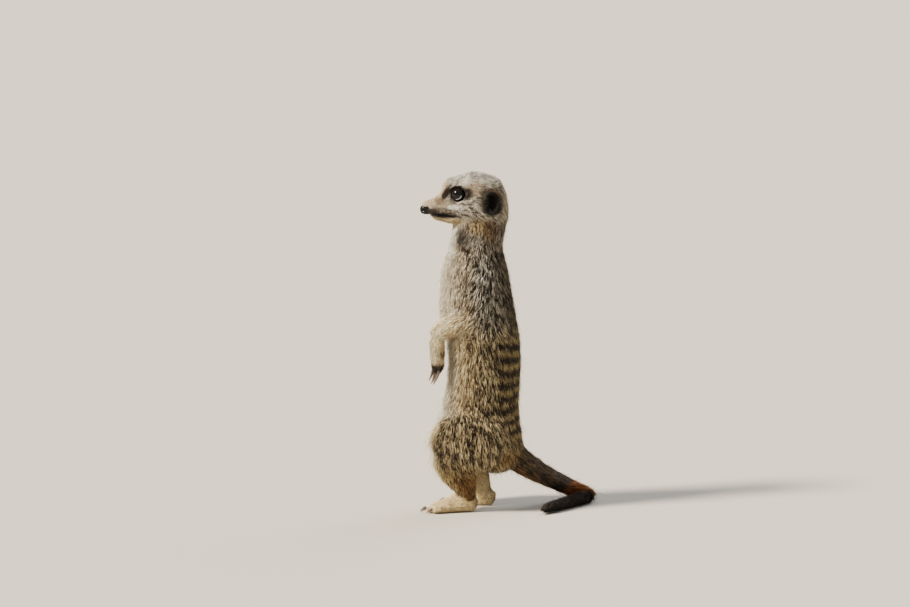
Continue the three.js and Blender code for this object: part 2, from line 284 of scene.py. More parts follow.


# rides on the one body, instead of the CAD nodes named
def setPiece(piece, slot, *replaced):
    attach(piece, "root")
    if replaced:
        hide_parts(*replaced)
    return piece


# quads of a grid of rows by around points, closed round, with a pole point at each end
def cappedGrid(rows, around):
    ring = np.arange(around)
    last = rows * around
    start = (np.arange(rows - 1) * around)[:, None]
    one, two = start + ring, start + np.roll(ring, -1)
    quads = np.stack([one, two, two + around, one + around], axis=-1).reshape(-1, 4)
    tris = np.concatenate([quads[:, [0, 1, 2]], quads[:, [0, 2, 3]]])
    first = np.stack([np.full(around, last), np.roll(ring, -1), ring], axis=1)
    end = (rows - 1) * around
    final = np.stack([np.full(around, last + 1), end + ring, end + np.roll(ring, -1)], axis=1)
    return np.concatenate([tris, first, final])


# the angles from the first pole and round it of the points of a ball's grid
def ballAngles(rows, around):
    polar, turn = np.meshgrid(np.linspace(0, np.pi, rows + 2)[1:-1], turns(around), indexing="ij")
    return np.append(polar.ravel(), [0, np.pi]), np.append(turn.ravel(), [0, 0])


# the places of the points and the corners of the triangles, as arrays
def meshArrays(mesh):
    points = np.empty(len(mesh.vertices) * 3, np.float32)
    mesh.vertices.foreach_get("co", points)
    mesh.calc_loop_triangles()
    tris = np.empty(len(mesh.loop_triangles) * 3, np.int32)
    mesh.loop_triangles.foreach_get("vertices", tris)
    return points.reshape(-1, 3).astype(float), tris.reshape(-1, 3)


# the sum of the areas of the triangles round each point, as directions
def normalsOf(points, tris):
    one, two, three = points[tris[:, 0]], points[tris[:, 1]], points[tris[:, 2]]
    face = np.cross(two - one, three - one)
    spread = [np.bincount(tris.ravel(), np.repeat(face[:, k], 3), len(points)) for k in range(3)]
    return unit(np.stack(spread, axis=1))


# each point goes part of the way to the mean of its neighbours, then nearly as far back
def relax(points, pairs, rounds, share=0.5, back=0.52, where=None):
    ends = np.concatenate([pairs, pairs[:, ::-1]])
    degree = np.maximum(np.bincount(ends[:, 0], minlength=len(points)), 1)[:, None]
    for _ in range(rounds):
        for step in (share, -back):
            total = [np.bincount(ends[:, 0], points[ends[:, 1], k], len(points)) for k in range(3)]
            move = step * (np.stack(total, axis=1) / degree - points)
            points = points + (move if where is None else move * where[:, None])
    return points


# How the coat lies, in rows: x, y, z, radius, depth of the coat, length of a hair, lift in degrees.
headPath = [
    (-50, 0, 266.5, 5, 0.6, 1.4, 14),
    (-43, 0, 267, 7.5, 0.7, 1.8, 14),
    (-36, 0, 268, 10.5, 0.8, 2.1, 14),
    (-29, 0, 270, 14.5, 1.0, 2.4, 15),
    (-20, 0, 273, 19, 1.2, 2.8, 16),
    (-8, 0, 275, 22, 1.5, 3.3, 17),
    (5, 0, 273, 25, 1.8, 4.1, 18),
    (13, 0, 266, 23, 2.2, 5.0, 19),
]
trunkPath = [
    (6, 0, 258, 22, 2.3, 5.4, 20),
    (0, 0, 246, 22, 2.4, 6.0, 20),
    (-3, 0, 235, 22, 2.5, 6.6, 21),
    (-4, 0, 222, 24, 2.7, 7.0, 21),
    (-5, 0, 203, 27, 2.8, 7.4, 21),
    (-3, 0, 182, 28, 2.8, 7.6, 21),
    (1, 0, 155, 30, 2.8, 7.6, 21),
    (3, 0, 125, 31, 2.9, 7.8, 21),
    (2, 0, 95, 32, 3.0, 8.0, 21),
    (5, 0, 68, 31, 3.0, 8.0, 21),
    (10, 0, 46, 25, 2.8, 7.6, 21),
]
tailPath = [
    (20, 0, 54, 15, 3.0, 9, 19),
    (33, 2, 45, 12.6, 2.7, 8.6, 18),
    (48, 11, 33, 9.8, 2.4, 8.0, 16),
    (63, 23.5, 23, 8.4, 2.2, 7.6, 16),
    (76, 34, 15, 7.6, 2.1, 7.4, 16),
    (86, 39.6, 9.6, 7.2, 2.1, 7.6, 17),
    (93.6, 36.6, 7, 6.9, 2.2, 7.6, 17),
    (94.6, 27.6, 6.2, 6.5, 2.3, 7.2, 15),
    (87, 13.6, 5.9, 6.3, 2.4, 7.0, 14),
    (74, -6.5, 5.7, 6.1, 2.5, 7.0, 14),
    (63, -23, 5.4, 5.4, 2.4, 7.0, 13),
    (55.5, -34, 4.8, 3.4, 1.6, 6.4, 10),
]


# shoulder, elbow, wrist, fingers; the far arm hangs lower
def armPath(side):
    y, drop = side["y"], side["drop"]
    rows = [
        (4, 18.6, 212, 11, 3.2, 9, 20),
        (-1, 22.4, 190, 11.5, 2.8, 8, 20),
        (0, 21.6, 174, 11.5, 2.6, 6.5, 20),
        (-12, 22.5, 170, 10.4, 2.2, 5.5, 19),
        (-24, 21.6, 166.5, 9.4, 2.0, 5.0, 18),
        (-35, 20, 160, 8.4, 1.7, 4.6, 17),
        (-38.4, 19, 150, 7.4, 1.4, 4.0, 16),
        (-37.6, 18.2, 140, 7, 1.1, 3.4, 15),
        (-37, 17.8, 129, 6.4, 0.8, 2.6, 14),
        (-37, 17.6, 120, 5, 0.5, 1.8, 12),
    ]
    return [(x, p * y, z - drop, *rest) for x, p, z, *rest in rows]


# from hip to knee and from knee to heel; the far leg stands further back, more so lower down
def thighPath(side):
    y, b = side["y"], side["back"]
    return [
        (14 + 0.2 * b, 20 * y, 74, 20, 3.0, 7.8, 22),
        (-8 + 0.3 * b, 23 * y, 68, 22, 3.0, 7.8, 22),
        (-26 + 0.4 * b, 22.6 * y, 63, 18, 2.9, 7.6, 23),
        (-36 + 0.45 * b, 21.8 * y, 61, 14, 2.8, 7.4, 24),
    ]


# from below the knee down to the ankle
def shankPath(side):
    y, b = side["y"], side["back"]
    return [
        (-28 + 0.42 * b, 21.4 * y, 52, 14, 2.6, 7.0, 21),
        (-18 + 0.6 * b, 19.4 * y, 33, 12, 2.1, 5.8, 20),
        (-12 + 0.8 * b, 17.4 * y, 21, 9.4, 1.7, 4.6, 18),
        (-10 + b, 16 * y, 12, 8, 1.2, 3.2, 16),
    ]


footPlan = {"heel": -4.0, "apart": 16.0, "turnOut": 0.2}  # the last one in radians


# a point of the foot: ahead of the heel along the sole, out to its outer edge, z above the floor
def footPoint(side, ahead, out, z):
    turn = side["y"] * footPlan["turnOut"]
    x = footPlan["heel"] + side["back"] - ahead * np.cos(turn) + out * np.sin(turn)
    return (x, side["y"] * footPlan["apart"] + ahead * np.sin(turn) + out * np.cos(turn), z)


# from heel to toes along the sole
def footPath(side):
    rows = [
        (-2, 7, 7, 1.0, 2.8, 14),
        (14, 8, 8, 1.0, 2.8, 14),
        (30, 6, 8, 0.7, 2.3, 13),
        (46, 4, 6, 0.45, 1.8, 12),
    ]
    return [(*footPoint(side, ahead, 0, z), *rest) for ahead, z, *rest in rows]


# up the ear, from its root to its top
def earPath(side):
    y = side["y"]
    return [(10.6, 19 * y, 268, 6, 0.5, 1.7, 16), (10.6, 27 * y, 284, 6, 0.5, 1.7, 16)]


# each guide: part, rows, and the way its hair lies where that isn't along the path
guides = [("head", headPath, None), ("trunk", trunkPath, None), ("tail", tailPath, None)]
for side in sides:
    name = side["name"]
    guides += [
        ("arm_" + name, armPath(side), None),
        ("thigh_" + name, thighPath(side), (0.22, 0.0, -1.0)),
        ("shank_" + name, shankPath(side), None),
        ("foot_" + name, footPath(side), None),
        ("ear_" + name, earPath(side), (0.5, 0.2 * side["y"], 0.85)),
    ]
partNames = [part for part, _, _ in guides]


# For each point: the rows of the nearest guides, weighed by how near they are for their
# radius, with the lie of the hair, the share of each part and the place along and round it.
def follow(points):
    count = len(points)
    total = np.zeros(count)
    lie, values = np.zeros((count, 3)), np.zeros((count, 3))
    shares, best, along, around, row, column = (np.zeros((len(guides), count)) for _ in range(6))
    for index, (_, rows, heading) in enumerate(guides):
        rows = np.array(rows, float)
        walked = 0.0
        typical = rows[:, 3].mean()
        flat = unit(np.cross(heading, (0.0, 1.0, 0.0))) + np.array((0, 0.9, 0)) if heading else None
        for k in range(len(rows) - 1):
            start, step = rows[k, :3], rows[k + 1, :3] - rows[k, :3]
            length = np.linalg.norm(step)
            free = (points - start) @ step / length**2
            part = np.clip(free, 0, 1)
            here = rows[k] + part[:, None] * (rows[k + 1] - rows[k])
            away = points - here[:, :3]
            gap = np.maximum(np.linalg.norm(away, axis=1), 0.5)
            weight = (here[:, 3] / gap) ** 6
            way = unit(np.array(heading)) if heading else step / length
            total += weight
            lie += weight[:, None] * way
            values += weight[:, None] * here[:, 4:]
            shares[index] += weight
            along[index] += weight * (walked + free * length)
            # the nearest length of this guide gives the place round it
            nearer = weight > best[index]
            tangent = step / length
            across = unit(np.cross(tangent, (0.31, -0.2, 0.93)))
            above = np.cross(tangent, across)
            turn = np.arctan2(away @ above, away @ across)
            around[index] = np.where(nearer, turn, around[index])
            best[index] = np.maximum(best[index], weight)
            walked += length
        along[index] /= shares[index]
        column[index] = points @ flat if heading else around[index] * typical
        row[index] = points @ unit(np.array(heading)) if heading else along[index]
    owner = np.argmax(shares, axis=0)
    pick = (owner, np.arange(count))
    depth, length, lift = (values / total[:, None]).T
    return {
        "lie": unit(lie),
        "depth": depth,
        "length": length,
        "lift": np.radians(lift),
        "shares": shares / total,
        "owner": owner,
        "along": along[pick],
        "row": row[pick],
        "around": around[pick],
        "column": column[pick],
    }


# the sum of the shares of all parts whose names start with the word
def shareOf(state, word):
    rows = [k for k, part in enumerate(partNames) if part.startswith(word)]
    return state["shares"][rows].sum(axis=0)


# Markings: the colours of the pale and the dark hairs and the share of dark ones.
# height, front and back of the trunk with its coat
trunkProfile = np.array(
    [
        (33, -8, 28),
        (54, -27, 38.4),
        (88, -32, 34.2),
        (124, -28, 35.8),
        (155, -31.2, 34.6),
        (184, -35.6, 29.4),
        (210, -34, 25.2),
        (229, -28.8, 20.8),
        (246, -25.6, 22.2),
        (270, -16, 22),
    ]
)
# from the front (-1) to the back (1) of the chest, then of the loins
chestStops = [
    (-1.0, "#F4EAD3", "#C6B697", 0.12),
    (-0.74, "#EADFC6", "#A89A80", 0.22),
    (-0.50, "#E2D3BB", "#745B47", 0.42),
    (-0.20, "#DACBB3", "#3C3128", 0.57),
    (0.10, "#D8CFC1", "#211D19", 0.66),
    (0.55, "#BBB2A2", "#181411", 0.70),
    (0.85, "#75674F", "#191310", 0.68),
    (1.0, "#5C4C36", "#17110D", 0.70),
]
loinStops = [
    (-1.0, "#E8DFC8", "#A79B84", 0.20),
    (-0.82, "#E2D8C1", "#A09078", 0.24),
    (-0.60, "#DECBA4", "#775A3A", 0.40),
    (-0.30, "#DAC297", "#3A291B", 0.57),
    (0.0, "#D0BC95", "#281E16", 0.65),
    (0.35, "#B7A780", "#201812", 0.65),
    (0.80, "#96845C", "#211914", 0.58),
    (1.0, "#7C6A48", "#1E1610", 0.60),
]
bandPlan = {
    "first": 71.0,
    "gap": 10.9,
    "low": 60.0,
    "high": 152.0,
    "dark": "#30251B",
    "pale": "#A69568",
}


# the look at each place, in proportion between the two stops next to it
def fromStops(place, stops):
    spots = [row[0] for row in stops]
    pale = np.array([linear(row[1]) for row in stops])
    dark = np.array([linear(row[2]) for row in stops])
    share = np.interp(place, spots, [row[3] for row in stops])
    rows = [np.stack([np.interp(place, spots, c[:, k]) for k in range(3)], 1) for c in (pale, dark)]
    return [rows[0], rows[1], share]


# lays one marking over the others where its mask is 1
def lay(coat, mask, pale, dark, share):
    for k, text in enumerate((pale, dark)):
        coat[k] = mix(coat[k], linear(text), mask[:, None])
    coat[2] = mix(coat[2], share, mask)


# a look laid on inside an ellipsoid
def patch(coat, place, mask, centre, radii, edge, *look):
    lay(coat, mask * blob(place, centre, radii, edge), *look)


# the dark bands across the back, a little uneven, each fading out on the flank
def markBack(coat, points, state, place):
    _, y, z = points.T
    out = np.abs(y)
    bow = 1.6 * np.sin(out * 0.16 + z * 0.045) + 0.05 * out
    wave = 0.5 + 0.5 * np.cos(2 * np.pi * (z - bandPlan["first"] + bow) / bandPlan["gap"])
    zone = rise(place, 0.12, 0.5) * rise(z, bandPlan["low"], bandPlan["low"] + 10)
    zone = zone * rise(z, bandPlan["high"] + 8, bandPlan["high"] - 6)
    dark = zone * rise(wave, 0.45, 0.8)
    pale = zone * rise(wave, 0.45, 0.1)
    lay(coat, 0.85 * dark, bandPlan["dark"], "#1B1410", 0.82)
    lay(coat, 0.6 * pale, bandPlan["pale"], "#4A3A24", 0.30)


# neck and throat, with a dark line of painted shade for a crease low on the side
def markNeck(coat, points, state, place):
    x, _, z = points.T
    q = mirrored(points)
    neck = rise(z, 226, 238) * shareOf(state, "trunk")
    lay(coat, neck * rise(place, -0.3, 0.3), "#A89E8D", "#2B2520", 0.52)
    patch(coat, q, 0.85, (-1, 17, 256), (11, 15, 10), 0.45, "#AB966A", "#57452C", 0.42)
    patch(coat, q, 0.8, (9, 18, 251), (6, 10, 12), 0.3, "#7C603F", "#352413", 0.52)
    patch(coat, q, 0.85, (-8, 16, 240.5), (11, 14, 6), 0.3, "#9A9488", "#4C4740", 0.45)
    patch(coat, q, 0.88, (-15.4, 13, 243.8), (6.2, 10, 11.0), 0.75, "#65605A", "#2D2A27", 0.58)
    # painted shade: a dark line where the fur folds low on the neck
    creaseShade = q - np.array((-10.5, 19, 231)) + (x + 10.5)[:, None] * (0, 0, 0.45)
    patch(coat, creaseShade, 0.9, (0, 0, 0), (5.6, 8, 1.8), 0.5, "#2B2624", "#141211", 0.85)
    throat = rise(z, 222, 232) * rise(z, 262, 254) * rise(place, -0.68, -0.84)
    lay(coat, throat * (1 - shareOf(state, "head")), "#F6F2E9", "#D5CDBF", 0.08)


# thin hair on the belly lets the grey skin show, in a band that is also painted shadow of the arm
def markBelly(coat, points, state, place):
    q = mirrored(points)
    # painted shadow of the arm on the belly, over grey skin under thin hair
    patch(coat, q, 0.6, (-22.5, 12, 128), (3.6, 12, 27), 0.4, "#9A9084", "#5F574D", 0.45)
    patch(coat, q, 0.7, (19, 12, 49), (11, 15, 9), 0.4, "#A07A48", "#4A331B", 0.45)


# hind legs: grizzled thighs, pale shins and feet, dark heels, and a pale front edge that is partly
# pale hair and partly painted light
def markLegs(coat, points, state, place):
    x, y, z = points.T
    out = np.abs(y)
    behind = farSide["back"] * (y > 0)
    leg = shareOf(state, "thigh") + shareOf(state, "shank")
    thigh = rise(leg, 0.2, 0.6) * rise(place, 0.75, 0.35)
    lay(coat, thigh, "#D8C299", "#2C2017", 0.64)
    lay(coat, thigh * rise(z, 48, 32), "#B29260", "#3B2917", 0.52)
    # the pale front edge of each leg: pale fringe hair, brightened as a painted lit rim
    lead = np.interp(z, [16, 30, 44, 62, 80, 96], [-23, -34, -38.5, -42.5, -37, -31])
    lay(coat, leg * rise(x - 0.45 * behind, lead + 6, lead + 1), "#E6D6AC", "#A58F66", 0.22)
    shank = rise(shareOf(state, "shank"), 0.25, 0.7) * rise(z, 52, 28)
    lay(coat, shank, "#D6BE90", "#35271A", 0.56)
    rear = rise(x - 0.8 * behind, lead + 6, lead + 13) * rise(z, 42, 27)
    lay(coat, shank * rear, "#9A7443", "#35240F", 0.56)
    lay(coat, shank * rise(out, 18, 13), "#E0CBA0", "#AC9064", 0.25)
    # the shank's front: a painted lit rim over pale hair
    lay(coat, shank * rise(x - 0.8 * behind, lead + 5.5, lead + 1), "#E6D4A8", "#A58A5E", 0.24)
    foot = rise(shareOf(state, "foot"), 0.3, 0.65) * rise(z, 24, 15)
    lay(coat, foot, "#E2CA9C", "#A5855A", 0.26)
    lay(coat, foot * rise(x - behind, -38, -46) * rise(z, 3, 6), "#F0E6CF", "#C2AD86", 0.18)
    lay(coat, 0.8 * foot * rise(x - behind, -6, -1.5) * rise(z, 12, 5), "#5A4028", "#241811", 0.6)


# arms: like the chest down to the elbow, cream to the wrist, painted shade under the elbow and behind
# the forearm, dark fingers
def markArms(coat, points, state, place):
    x, y, z = points.T
    q = mirrored(points)
    arm = rise(shareOf(state, "arm"), 0.35, 0.65)
    drop = farSide["drop"] * (y > 0)
    lay(coat, 0.9 * arm * rise(z + drop, 196, 176) * rise(x, 0, -14), "#D8C8A6", "#6E563A", 0.42)
    below = rise(z + drop, 184, 168) * rise(x, -13, -33)
    lay(coat, arm * below, "#EEE0BD", "#B1946A", 0.25)
    # painted shade: darker tan under the elbow
    underShade = 0.75 * arm * below * rise(z + drop, 169, 160) * rise(x, -34, -24)
    lay(coat, underShade, "#B8945D", "#6B4E2B", 0.42)
    # painted shade: tan on the back of the lower forearm
    lay(coat, 0.7 * arm * rise(x, -37.5, -34) * rise(z + drop, 158, 148), "#CDB282", "#8F7246", 0.35)
    patch(coat, q, 0.8 * arm, (-33.2, 22, 140), (2.6, 4.5, 3.2), 0.6, "#6B553B", "#33271C", 0.6)
    lay(coat, arm * rise(z + drop, 133.5, 129.5), "#463A2E", "#1D1713", 0.66)


# tail: grizzled brown above, rusty below its root, rust at the bend and black to the tip
def markTail(coat, points, state, place):
    x, y, z = points.T
    tail = rise(shareOf(state, "tail"), 0.4, 0.75)
    lay(coat, tail, "#75624A", "#241B14", 0.60)
    core = np.interp(x, [20, 33, 48, 63, 76, 86], [54, 45, 33, 23, 15, 9.6])
    lay(coat, tail * rise(x, 66, 50) * rise(z - core, -2, -8), "#8D6638", "#46301B", 0.5)
    lay(coat, 0.6 * tail * rise(x, 50, 66) * rise(z - core, -1, -5), "#8C7440", "#33261A", 0.5)
    bend = tail * rise(z, 3, 7)
    patch(coat, points, bend, (88, 36, 10), (13, 14, 9), 0.35, "#C37E42", "#76431D", 0.38)
    tip = tail * rise(y, 34, 22) * rise(x, 44, 48) * rise(z, 22, 16)
    lay(coat, tip, "#382D25", "#120F0D", 0.68)
    patch(coat, points, 0.85 * tail, (86, 27, 13), (13, 13, 5), 0.3, "#B87237", "#623817", 0.45)


# head: pale grizzled crown and cheeks, plainer muzzle, dark round the eye and in the ear
def markHead(coat, points, state, place):
    x, _, z = points.T
    q = mirrored(points)
    head = rise(shareOf(state, "head") + shareOf(state, "ear"), 0.35, 0.7)
    head = head * (1 - 0.85 * rise(z, 266, 256) * rise(x, -14, -4))
    lay(coat, head, "#DFD6C5", "#5C5248", 0.40)
    lay(coat, head * rise(z, 284, 292), "#EAE2D3", "#6A6055", 0.34)
    lay(coat, 0.85 * head * rise(x, 9, 19) * rise(z, 296, 284), "#A99D8A", "#40382F", 0.5)
    lay(coat, head * rise(x, -25, -33) * rise(z, 266, 273), "#E0CDB0", "#AC9072", 0.25)
    patch(coat, q, 0.75 * head, (-4, 21, 286), (8.5, 14, 6.5), 0.3, "#C3AE91", "#77624E", 0.40)
    patch(coat, q, 0.8 * head, (-34, 9, 270.5), (9, 9, 4.5), 0.3, "#BDB09B", "#857663", 0.35)
    patch(coat, q, 0.8 * head, (-24.5, 15, 274.5), (5.5, 8, 2.8), 0.3, "#A8A192", "#77705F", 0.35)
    patch(coat, q, 0.9 * head, (-32, 10, 265.2), (12.5, 12, 4.0), 0.4, "#85796B", "#38302A", 0.45)
    patch(coat, q, head, (-41.5, 7, 264.2), (5.4, 6, 3.6), 0.4, "#54463B", "#261E19", 0.58)
    patch(coat, q, head, (-46, 4, 265.6), (2.2, 4, 4.0), 0.3, "#241C19", "#0E0B0A", 0.8)
    lay(coat, head * rise(z, 261.4, 259.0) * rise(x, -8, -16), "#CDBB93", "#94805C", 0.28)
    patch(coat, q, head, (-31, 10, 261.8), (12.5, 14, 2.3), 0.55, "#2C221D", "#130F0E", 0.75)
    patch(coat, q, head, (-34.5, 9, 274), (5.5, 7, 3), 0.6, "#B09A80", "#7D6852", 0.4)
    patch(coat, q, 0.9 * head, (-21.5, 17, 270.2), (6, 9, 1.8), 0.6, "#FBF8F0", "#DDD6C9", 0.05)
    patch(coat, q, head, (-19.6, 18, 282.4), (8.2, 11, 7.4), 0.16, "#2F221B", "#120E0C", 0.68)
    slanted = q - (0.5 * (z - 281.5))[:, None] * [1, 0, 0]
    patch(coat, slanted, head, (-29.6, 12, 281.5), (3.3, 9, 6.4), 0.4, "#3A2A21", "#15100E", 0.64)
    patch(coat, q, head, (-12.2, 21, 282.6), (6.6, 9, 5.4), 0.5, "#33251E", "#140F0D", 0.66)
    bare = (-25.6, 14.5, 280.2)
    patch(coat, slanted, 0.85 * head, bare, (1.3, 5, 3.4), 0.4, "#8B8880", "#57544E", 0.3)
    patch(coat, q, 0.6 * head, (-11.8, 20.5, 281.2), (1.7, 6, 2.1), 0.5, "#55534A", "#2F2D26", 0.4)
    ear = blob(q, (10.8, 25, 276), (10.2, 10, 12.6), mix(0.16, 0.34, rise(x, 8, 0)))
    lay(coat, ear, "#282320", "#0F0D0C", 0.62)
    lay(coat, ear * rise(x, 8.5, 2.5), "#565046", "#2B2721", 0.5)
    rim = 1 - blob(q, (9.4, 25, 274.6), (9.0, 12, 11.0), 0.1)
    lay(coat, ear * rim * rise(z, 270, 276), "#6B5039", "#33241A", 0.4)
    patch(coat, q, 1.0, (10, 21, 268.5), (5.5, 8, 3.6), 0.3, "#2B231E", "#100D0C", 0.8)
    patch(coat, q, 0.8, (9, 22, 289), (7.5, 6, 2.0), 0.3, "#9A7853", "#52402E", 0.4)


# how far back on the trunk each point is: -1 at its front, 1 at its back
def placeOf(points):
    x, _, z = points.T
    front = np.interp(z, trunkProfile[:, 0], trunkProfile[:, 1])
    back = np.interp(z, trunkProfile[:, 0], trunkProfile[:, 2])
    return np.clip((x - (front + back) / 2) / ((back - front) / 2), -1, 1)


# the look of the hair at each point: the trunk's from front to back, then each marking over it
def marks(points, state):
    place = placeOf(points)
    chest, loins = fromStops(place, chestStops), fromStops(place, loinStops)
    high = rise(points[:, 2], 146, 178)
    coat = [mix(loins[k], chest[k], high[:, None]) for k in range(2)] + [mix(loins[2], chest[2], high)]
    for region in (markBack, markNeck, markBelly, markLegs, markArms, markTail, markHead):
        region(coat, points, state, place)
    return coat


# The skin: the flesh nodes grown into one form, pulled in by the depth of the coat.
fleshNodes = ["head", "neck", "trunk", "tail_base", "tail_middle", "tail_tip"]
limbParts = ["ear", "upper_arm", "forearm", "hand", "thigh", "shank", "foot"]
fleshNodes += [f"{part}_{side['name']}" for part in limbParts for side in sides]
skinPlan = {
    "grow": 0.32,
    "voxel": 1.42,
    "rounds": 13,
    "softRounds": 60,
    "farBack": 7.2,  # how far the soft places of the far leg lie further back
    "lowest": 0.25,
    "brow": 2.9,  # how far brow and crown are filled out
    "crown": 1.3,
    "shade": 0.6,  # painted shade: the skin under the coat is darkened, as the hair over it would shade it
    "soft": [  # centre and radii of the places where one form runs smoothly into the next
        ((0, 25, 203), (17, 13, 17)),
        ((-6, 27, 91), (34, 14, 14)),
        ((-37, 21, 48), (10, 14, 14)),
        ((32, 2, 54), (14, 14, 12)),
        ((-16, 24, 178), (11, 8, 8)),
        ((1.5, 16, 20), (7, 10, 8)),
    ],
}
mouthPlan = {
    "corner": -19.5,
    "height": [(-48, 262.8), (-40, 262.6), (-30, 261.4), (-24, 261.2), (-19, 262.4)],
    "wide": 0.85,
    "deep": 1.1,
}
nosePlan = {
    "centre": (-46.9, 0, 266.0),
    "long": 6.0,
    "wide": 5.1,
    "high": 4.4,
    "boxy": 0.85,
    "nostril": (-0.84, 0.52, -0.08),
    "nostrilDeep": 2.1,
    "nostrilWide": 0.27,
    "slit": (-0.45, 0.86, -0.2),
    "slitDeep": 0.9,
    "splitDeep": 0.55,
}
muzzlePlan = {
    "from": -39.5,
    "to": -47.0,
    "narrow": 0.70,
    "lower": 0.90,
    "bridge": 3.2,
    "throat": 250.0,
}
earPlan = {"centre": (11.6, 275.4), "radii": (6.6, 9.6), "deep": 4.2, "rim": 0.9}
handPlan = {
    "turn": 28.0,  # degrees, reached between two heights in the wrist
    "from": 150.0,
    "to": 131.0,
    "wrist": (-37.3, 17.8),
    "reach": 12.5,
    "middle": 17.6,
    "fingerGap": 3.8,
    "toeGap": 4.9,
    "fingerDeep": 0.9,
    "toeDeep": 1.1,
}


# the ball's centre, the gaze, and the long way (to the nose) and high way of the opening
def eyeFrame(side):
    flip = np.array([1, side["y"], 1])
    gaze = unit(np.array(eyePlan["gaze"]) * flip)
    centre = np.array(eyePlan["centre"]) * flip - eyePlan["sunk"] * gaze
    level = unit(np.cross((0, 0, side["y"]), gaze))
    upright = np.cross(gaze, level) * side["y"]
    slant = np.radians(eyePlan["lidSlant"])
    ahead = np.cos(slant) * level - np.sin(slant) * upright
    above = np.cos(slant) * upright + np.sin(slant) * level
    return centre, gaze, ahead, above


# the height of the mouth at each place along it
def mouthLine(points):
    return np.interp(points[:, 0], *np.array(mouthPlan["height"]).T)


# how far the lids are open in a direction round the gaze: an oval with pointed corners
def lidOpening(turn):
    along, up = np.abs(np.cos(turn)), np.abs(np.sin(turn))
    return 1 / ((along / eyePlan["openLong"]) ** 1.7 + (up / eyePlan["openHigh"]) ** 1.7) ** (1 / 1.7)


# the CAD nodes' meshes, each welded and grown a little, so that they run into each other
def bareFlesh():
    parts, faces, count = [], [], 0
    for name in fleshNodes:
        raw, tris = meshArrays(nodes[name].data)
        keys = np.round(raw / 2e-6).astype(np.int64)
        _, first, same = np.unique(keys, axis=0, return_index=True, return_inverse=True)
        points, tris = toPlan(raw[first]), same.reshape(-1)[tris]
        points = points + skinPlan["grow"] * normalsOf(points, tris)
        parts.append(points)
        faces.append(tris + count)
        count += len(points)
    return np.concatenate(parts), np.concatenate(faces)


# the outside of all of them as one closed mesh
def remeshed(points, tris):
    form = newPiece("flesh_form", points, tris, None, smooth=False)
    weld = form.modifiers.new("weld", "REMESH")
    weld.mode = "VOXEL"
    weld.voxel_size = skinPlan["voxel"] * mm
    graph = bpy.context.evaluated_depsgraph_get()
    mesh = bpy.data.meshes.new_from_object(form.evaluated_get(graph))
    old = form.data
    bpy.data.objects.remove(form)
    bpy.data.meshes.remove(old)
    return mesh


# the two ends of each edge
def edgesOf(mesh):
    pairs = np.empty(len(mesh.edges) * 2, np.int32)
    mesh.edges.foreach_get("vertices", pairs)
    return pairs.reshape(-1, 2)


# plan millimetres into a mesh that is already there
def movePoints(mesh, points):
    mesh.vertices.foreach_set("co", toScene(points).astype(np.float32).ravel())


# splits each edge whose two ends are inside the zone
def refine(mesh, inside):
    flags = inside(toPlan(meshArrays(mesh)[0]))
    form = bmesh.new()
    form.from_mesh(mesh)
    edges = [edge for edge in form.edges if flags[edge.verts[0].index] and flags[edge.verts[1].index]]
    bmesh.ops.subdivide_edges(form, edges=edges, cuts=1, use_grid_fill=True)
    form.to_mesh(mesh)
    form.free()


# face, ears, toes and fingers: where the skin has finer triangles
def faceZone(points):
    x, y, z = points.T
    ears = blob(mirrored(points), (10.5, 23, 276), (12, 11, 15), 0.01) > 0.5
    toes = (z < 12) & (x - farSide["back"] * (y > 0) < -30)
    fingers = (z > 100) & (z < 132) & (x < -30) & (np.abs(y) > 9)
    return ((x < -6) & (z > 252)) | ears | toes | fingers


# round the eyes, the nose pad and the mouth line: where they are finer once more
def eyeZone(points):
    eyes = np.linalg.norm(mirrored(points) - np.array(eyePlan["centre"]), axis=1) < 12.5
    nose = np.linalg.norm(points - np.array(nosePlan["centre"]), axis=1) < 7.5
    mouth = (np.abs(points[:, 2] - mouthLine(points)) < 2.2) & (points[:, 0] < mouthPlan["corner"] + 2)
    return eyes | nose | mouth


# skin round each eye: hidden behind the eyeball inside the opening, a thick rim at its edge
def openEyes(points):
    radius = eyePlan["radius"]
    for side in sides:
        centre, gaze, ahead, above = eyeFrame(side)
        rel = points - centre
        up, across, height = rel @ above, rel @ ahead, rel @ gaze
        reach = np.hypot(up, across)
        edge = lidOpening(np.arctan2(up, across))
        ball = np.sqrt(np.maximum(radius**2 - reach**2, 0.4))
        rim = ball + eyePlan["lidThick"] * rise(reach, edge - 0.1, edge + 0.7)
        inside = ball - eyePlan["skinBehind"] + 1.4 * rise(reach, edge - 0.8, edge)
        target = np.where(reach < edge, inside, rim)
        weight = rise(reach, edge + eyePlan["blendOut"], edge + 0.5) * (height > -2) * (reach < 14)
        points = points + (weight * (target - height))[:, None] * gaze
    return points


# a groove along the closed mouth and down the middle of the upper lip, and a full lip pad
def shapeMouth(points, normals):
    x, y, z = points.T
    along = rise(x, mouthPlan["corner"] + 1.0, mouthPlan["corner"] - 2.0) * rise(z, 252, 256)
    groove = along * np.exp(-(((z - mouthLine(points)) / mouthPlan["wide"]) ** 2))
    split = np.exp(-((y / 0.5) ** 2)) * rise(x, -45, -47) * rise(z, 262.2, 263) * rise(z, 267, 265)
    pad = blob(mirrored(points), (-41, 7.5, 265), (6, 5, 3.2), 0.6)
    return points + normals * (0.6 * pad - mouthPlan["deep"] * groove - 0.6 * split)[:, None]


# the muzzle narrows and lowers to the nose pad, and its bridge reaches forward over it
def shapeMuzzle(points):
    x, y, z = points.T
    tip = rise(x, muzzlePlan["from"], muzzlePlan["to"]) * (z > muzzlePlan["throat"])
    middle = nosePlan["centre"][2]
    high = middle + (z - middle) * mix(1.0, muzzlePlan["lower"], tip)
    reach = muzzlePlan["bridge"] * tip**2 * rise(high, middle + 0.5, middle + 5)
    return np.stack([x - reach, y * mix(1.0, muzzlePlan["narrow"], tip), high], axis=1)


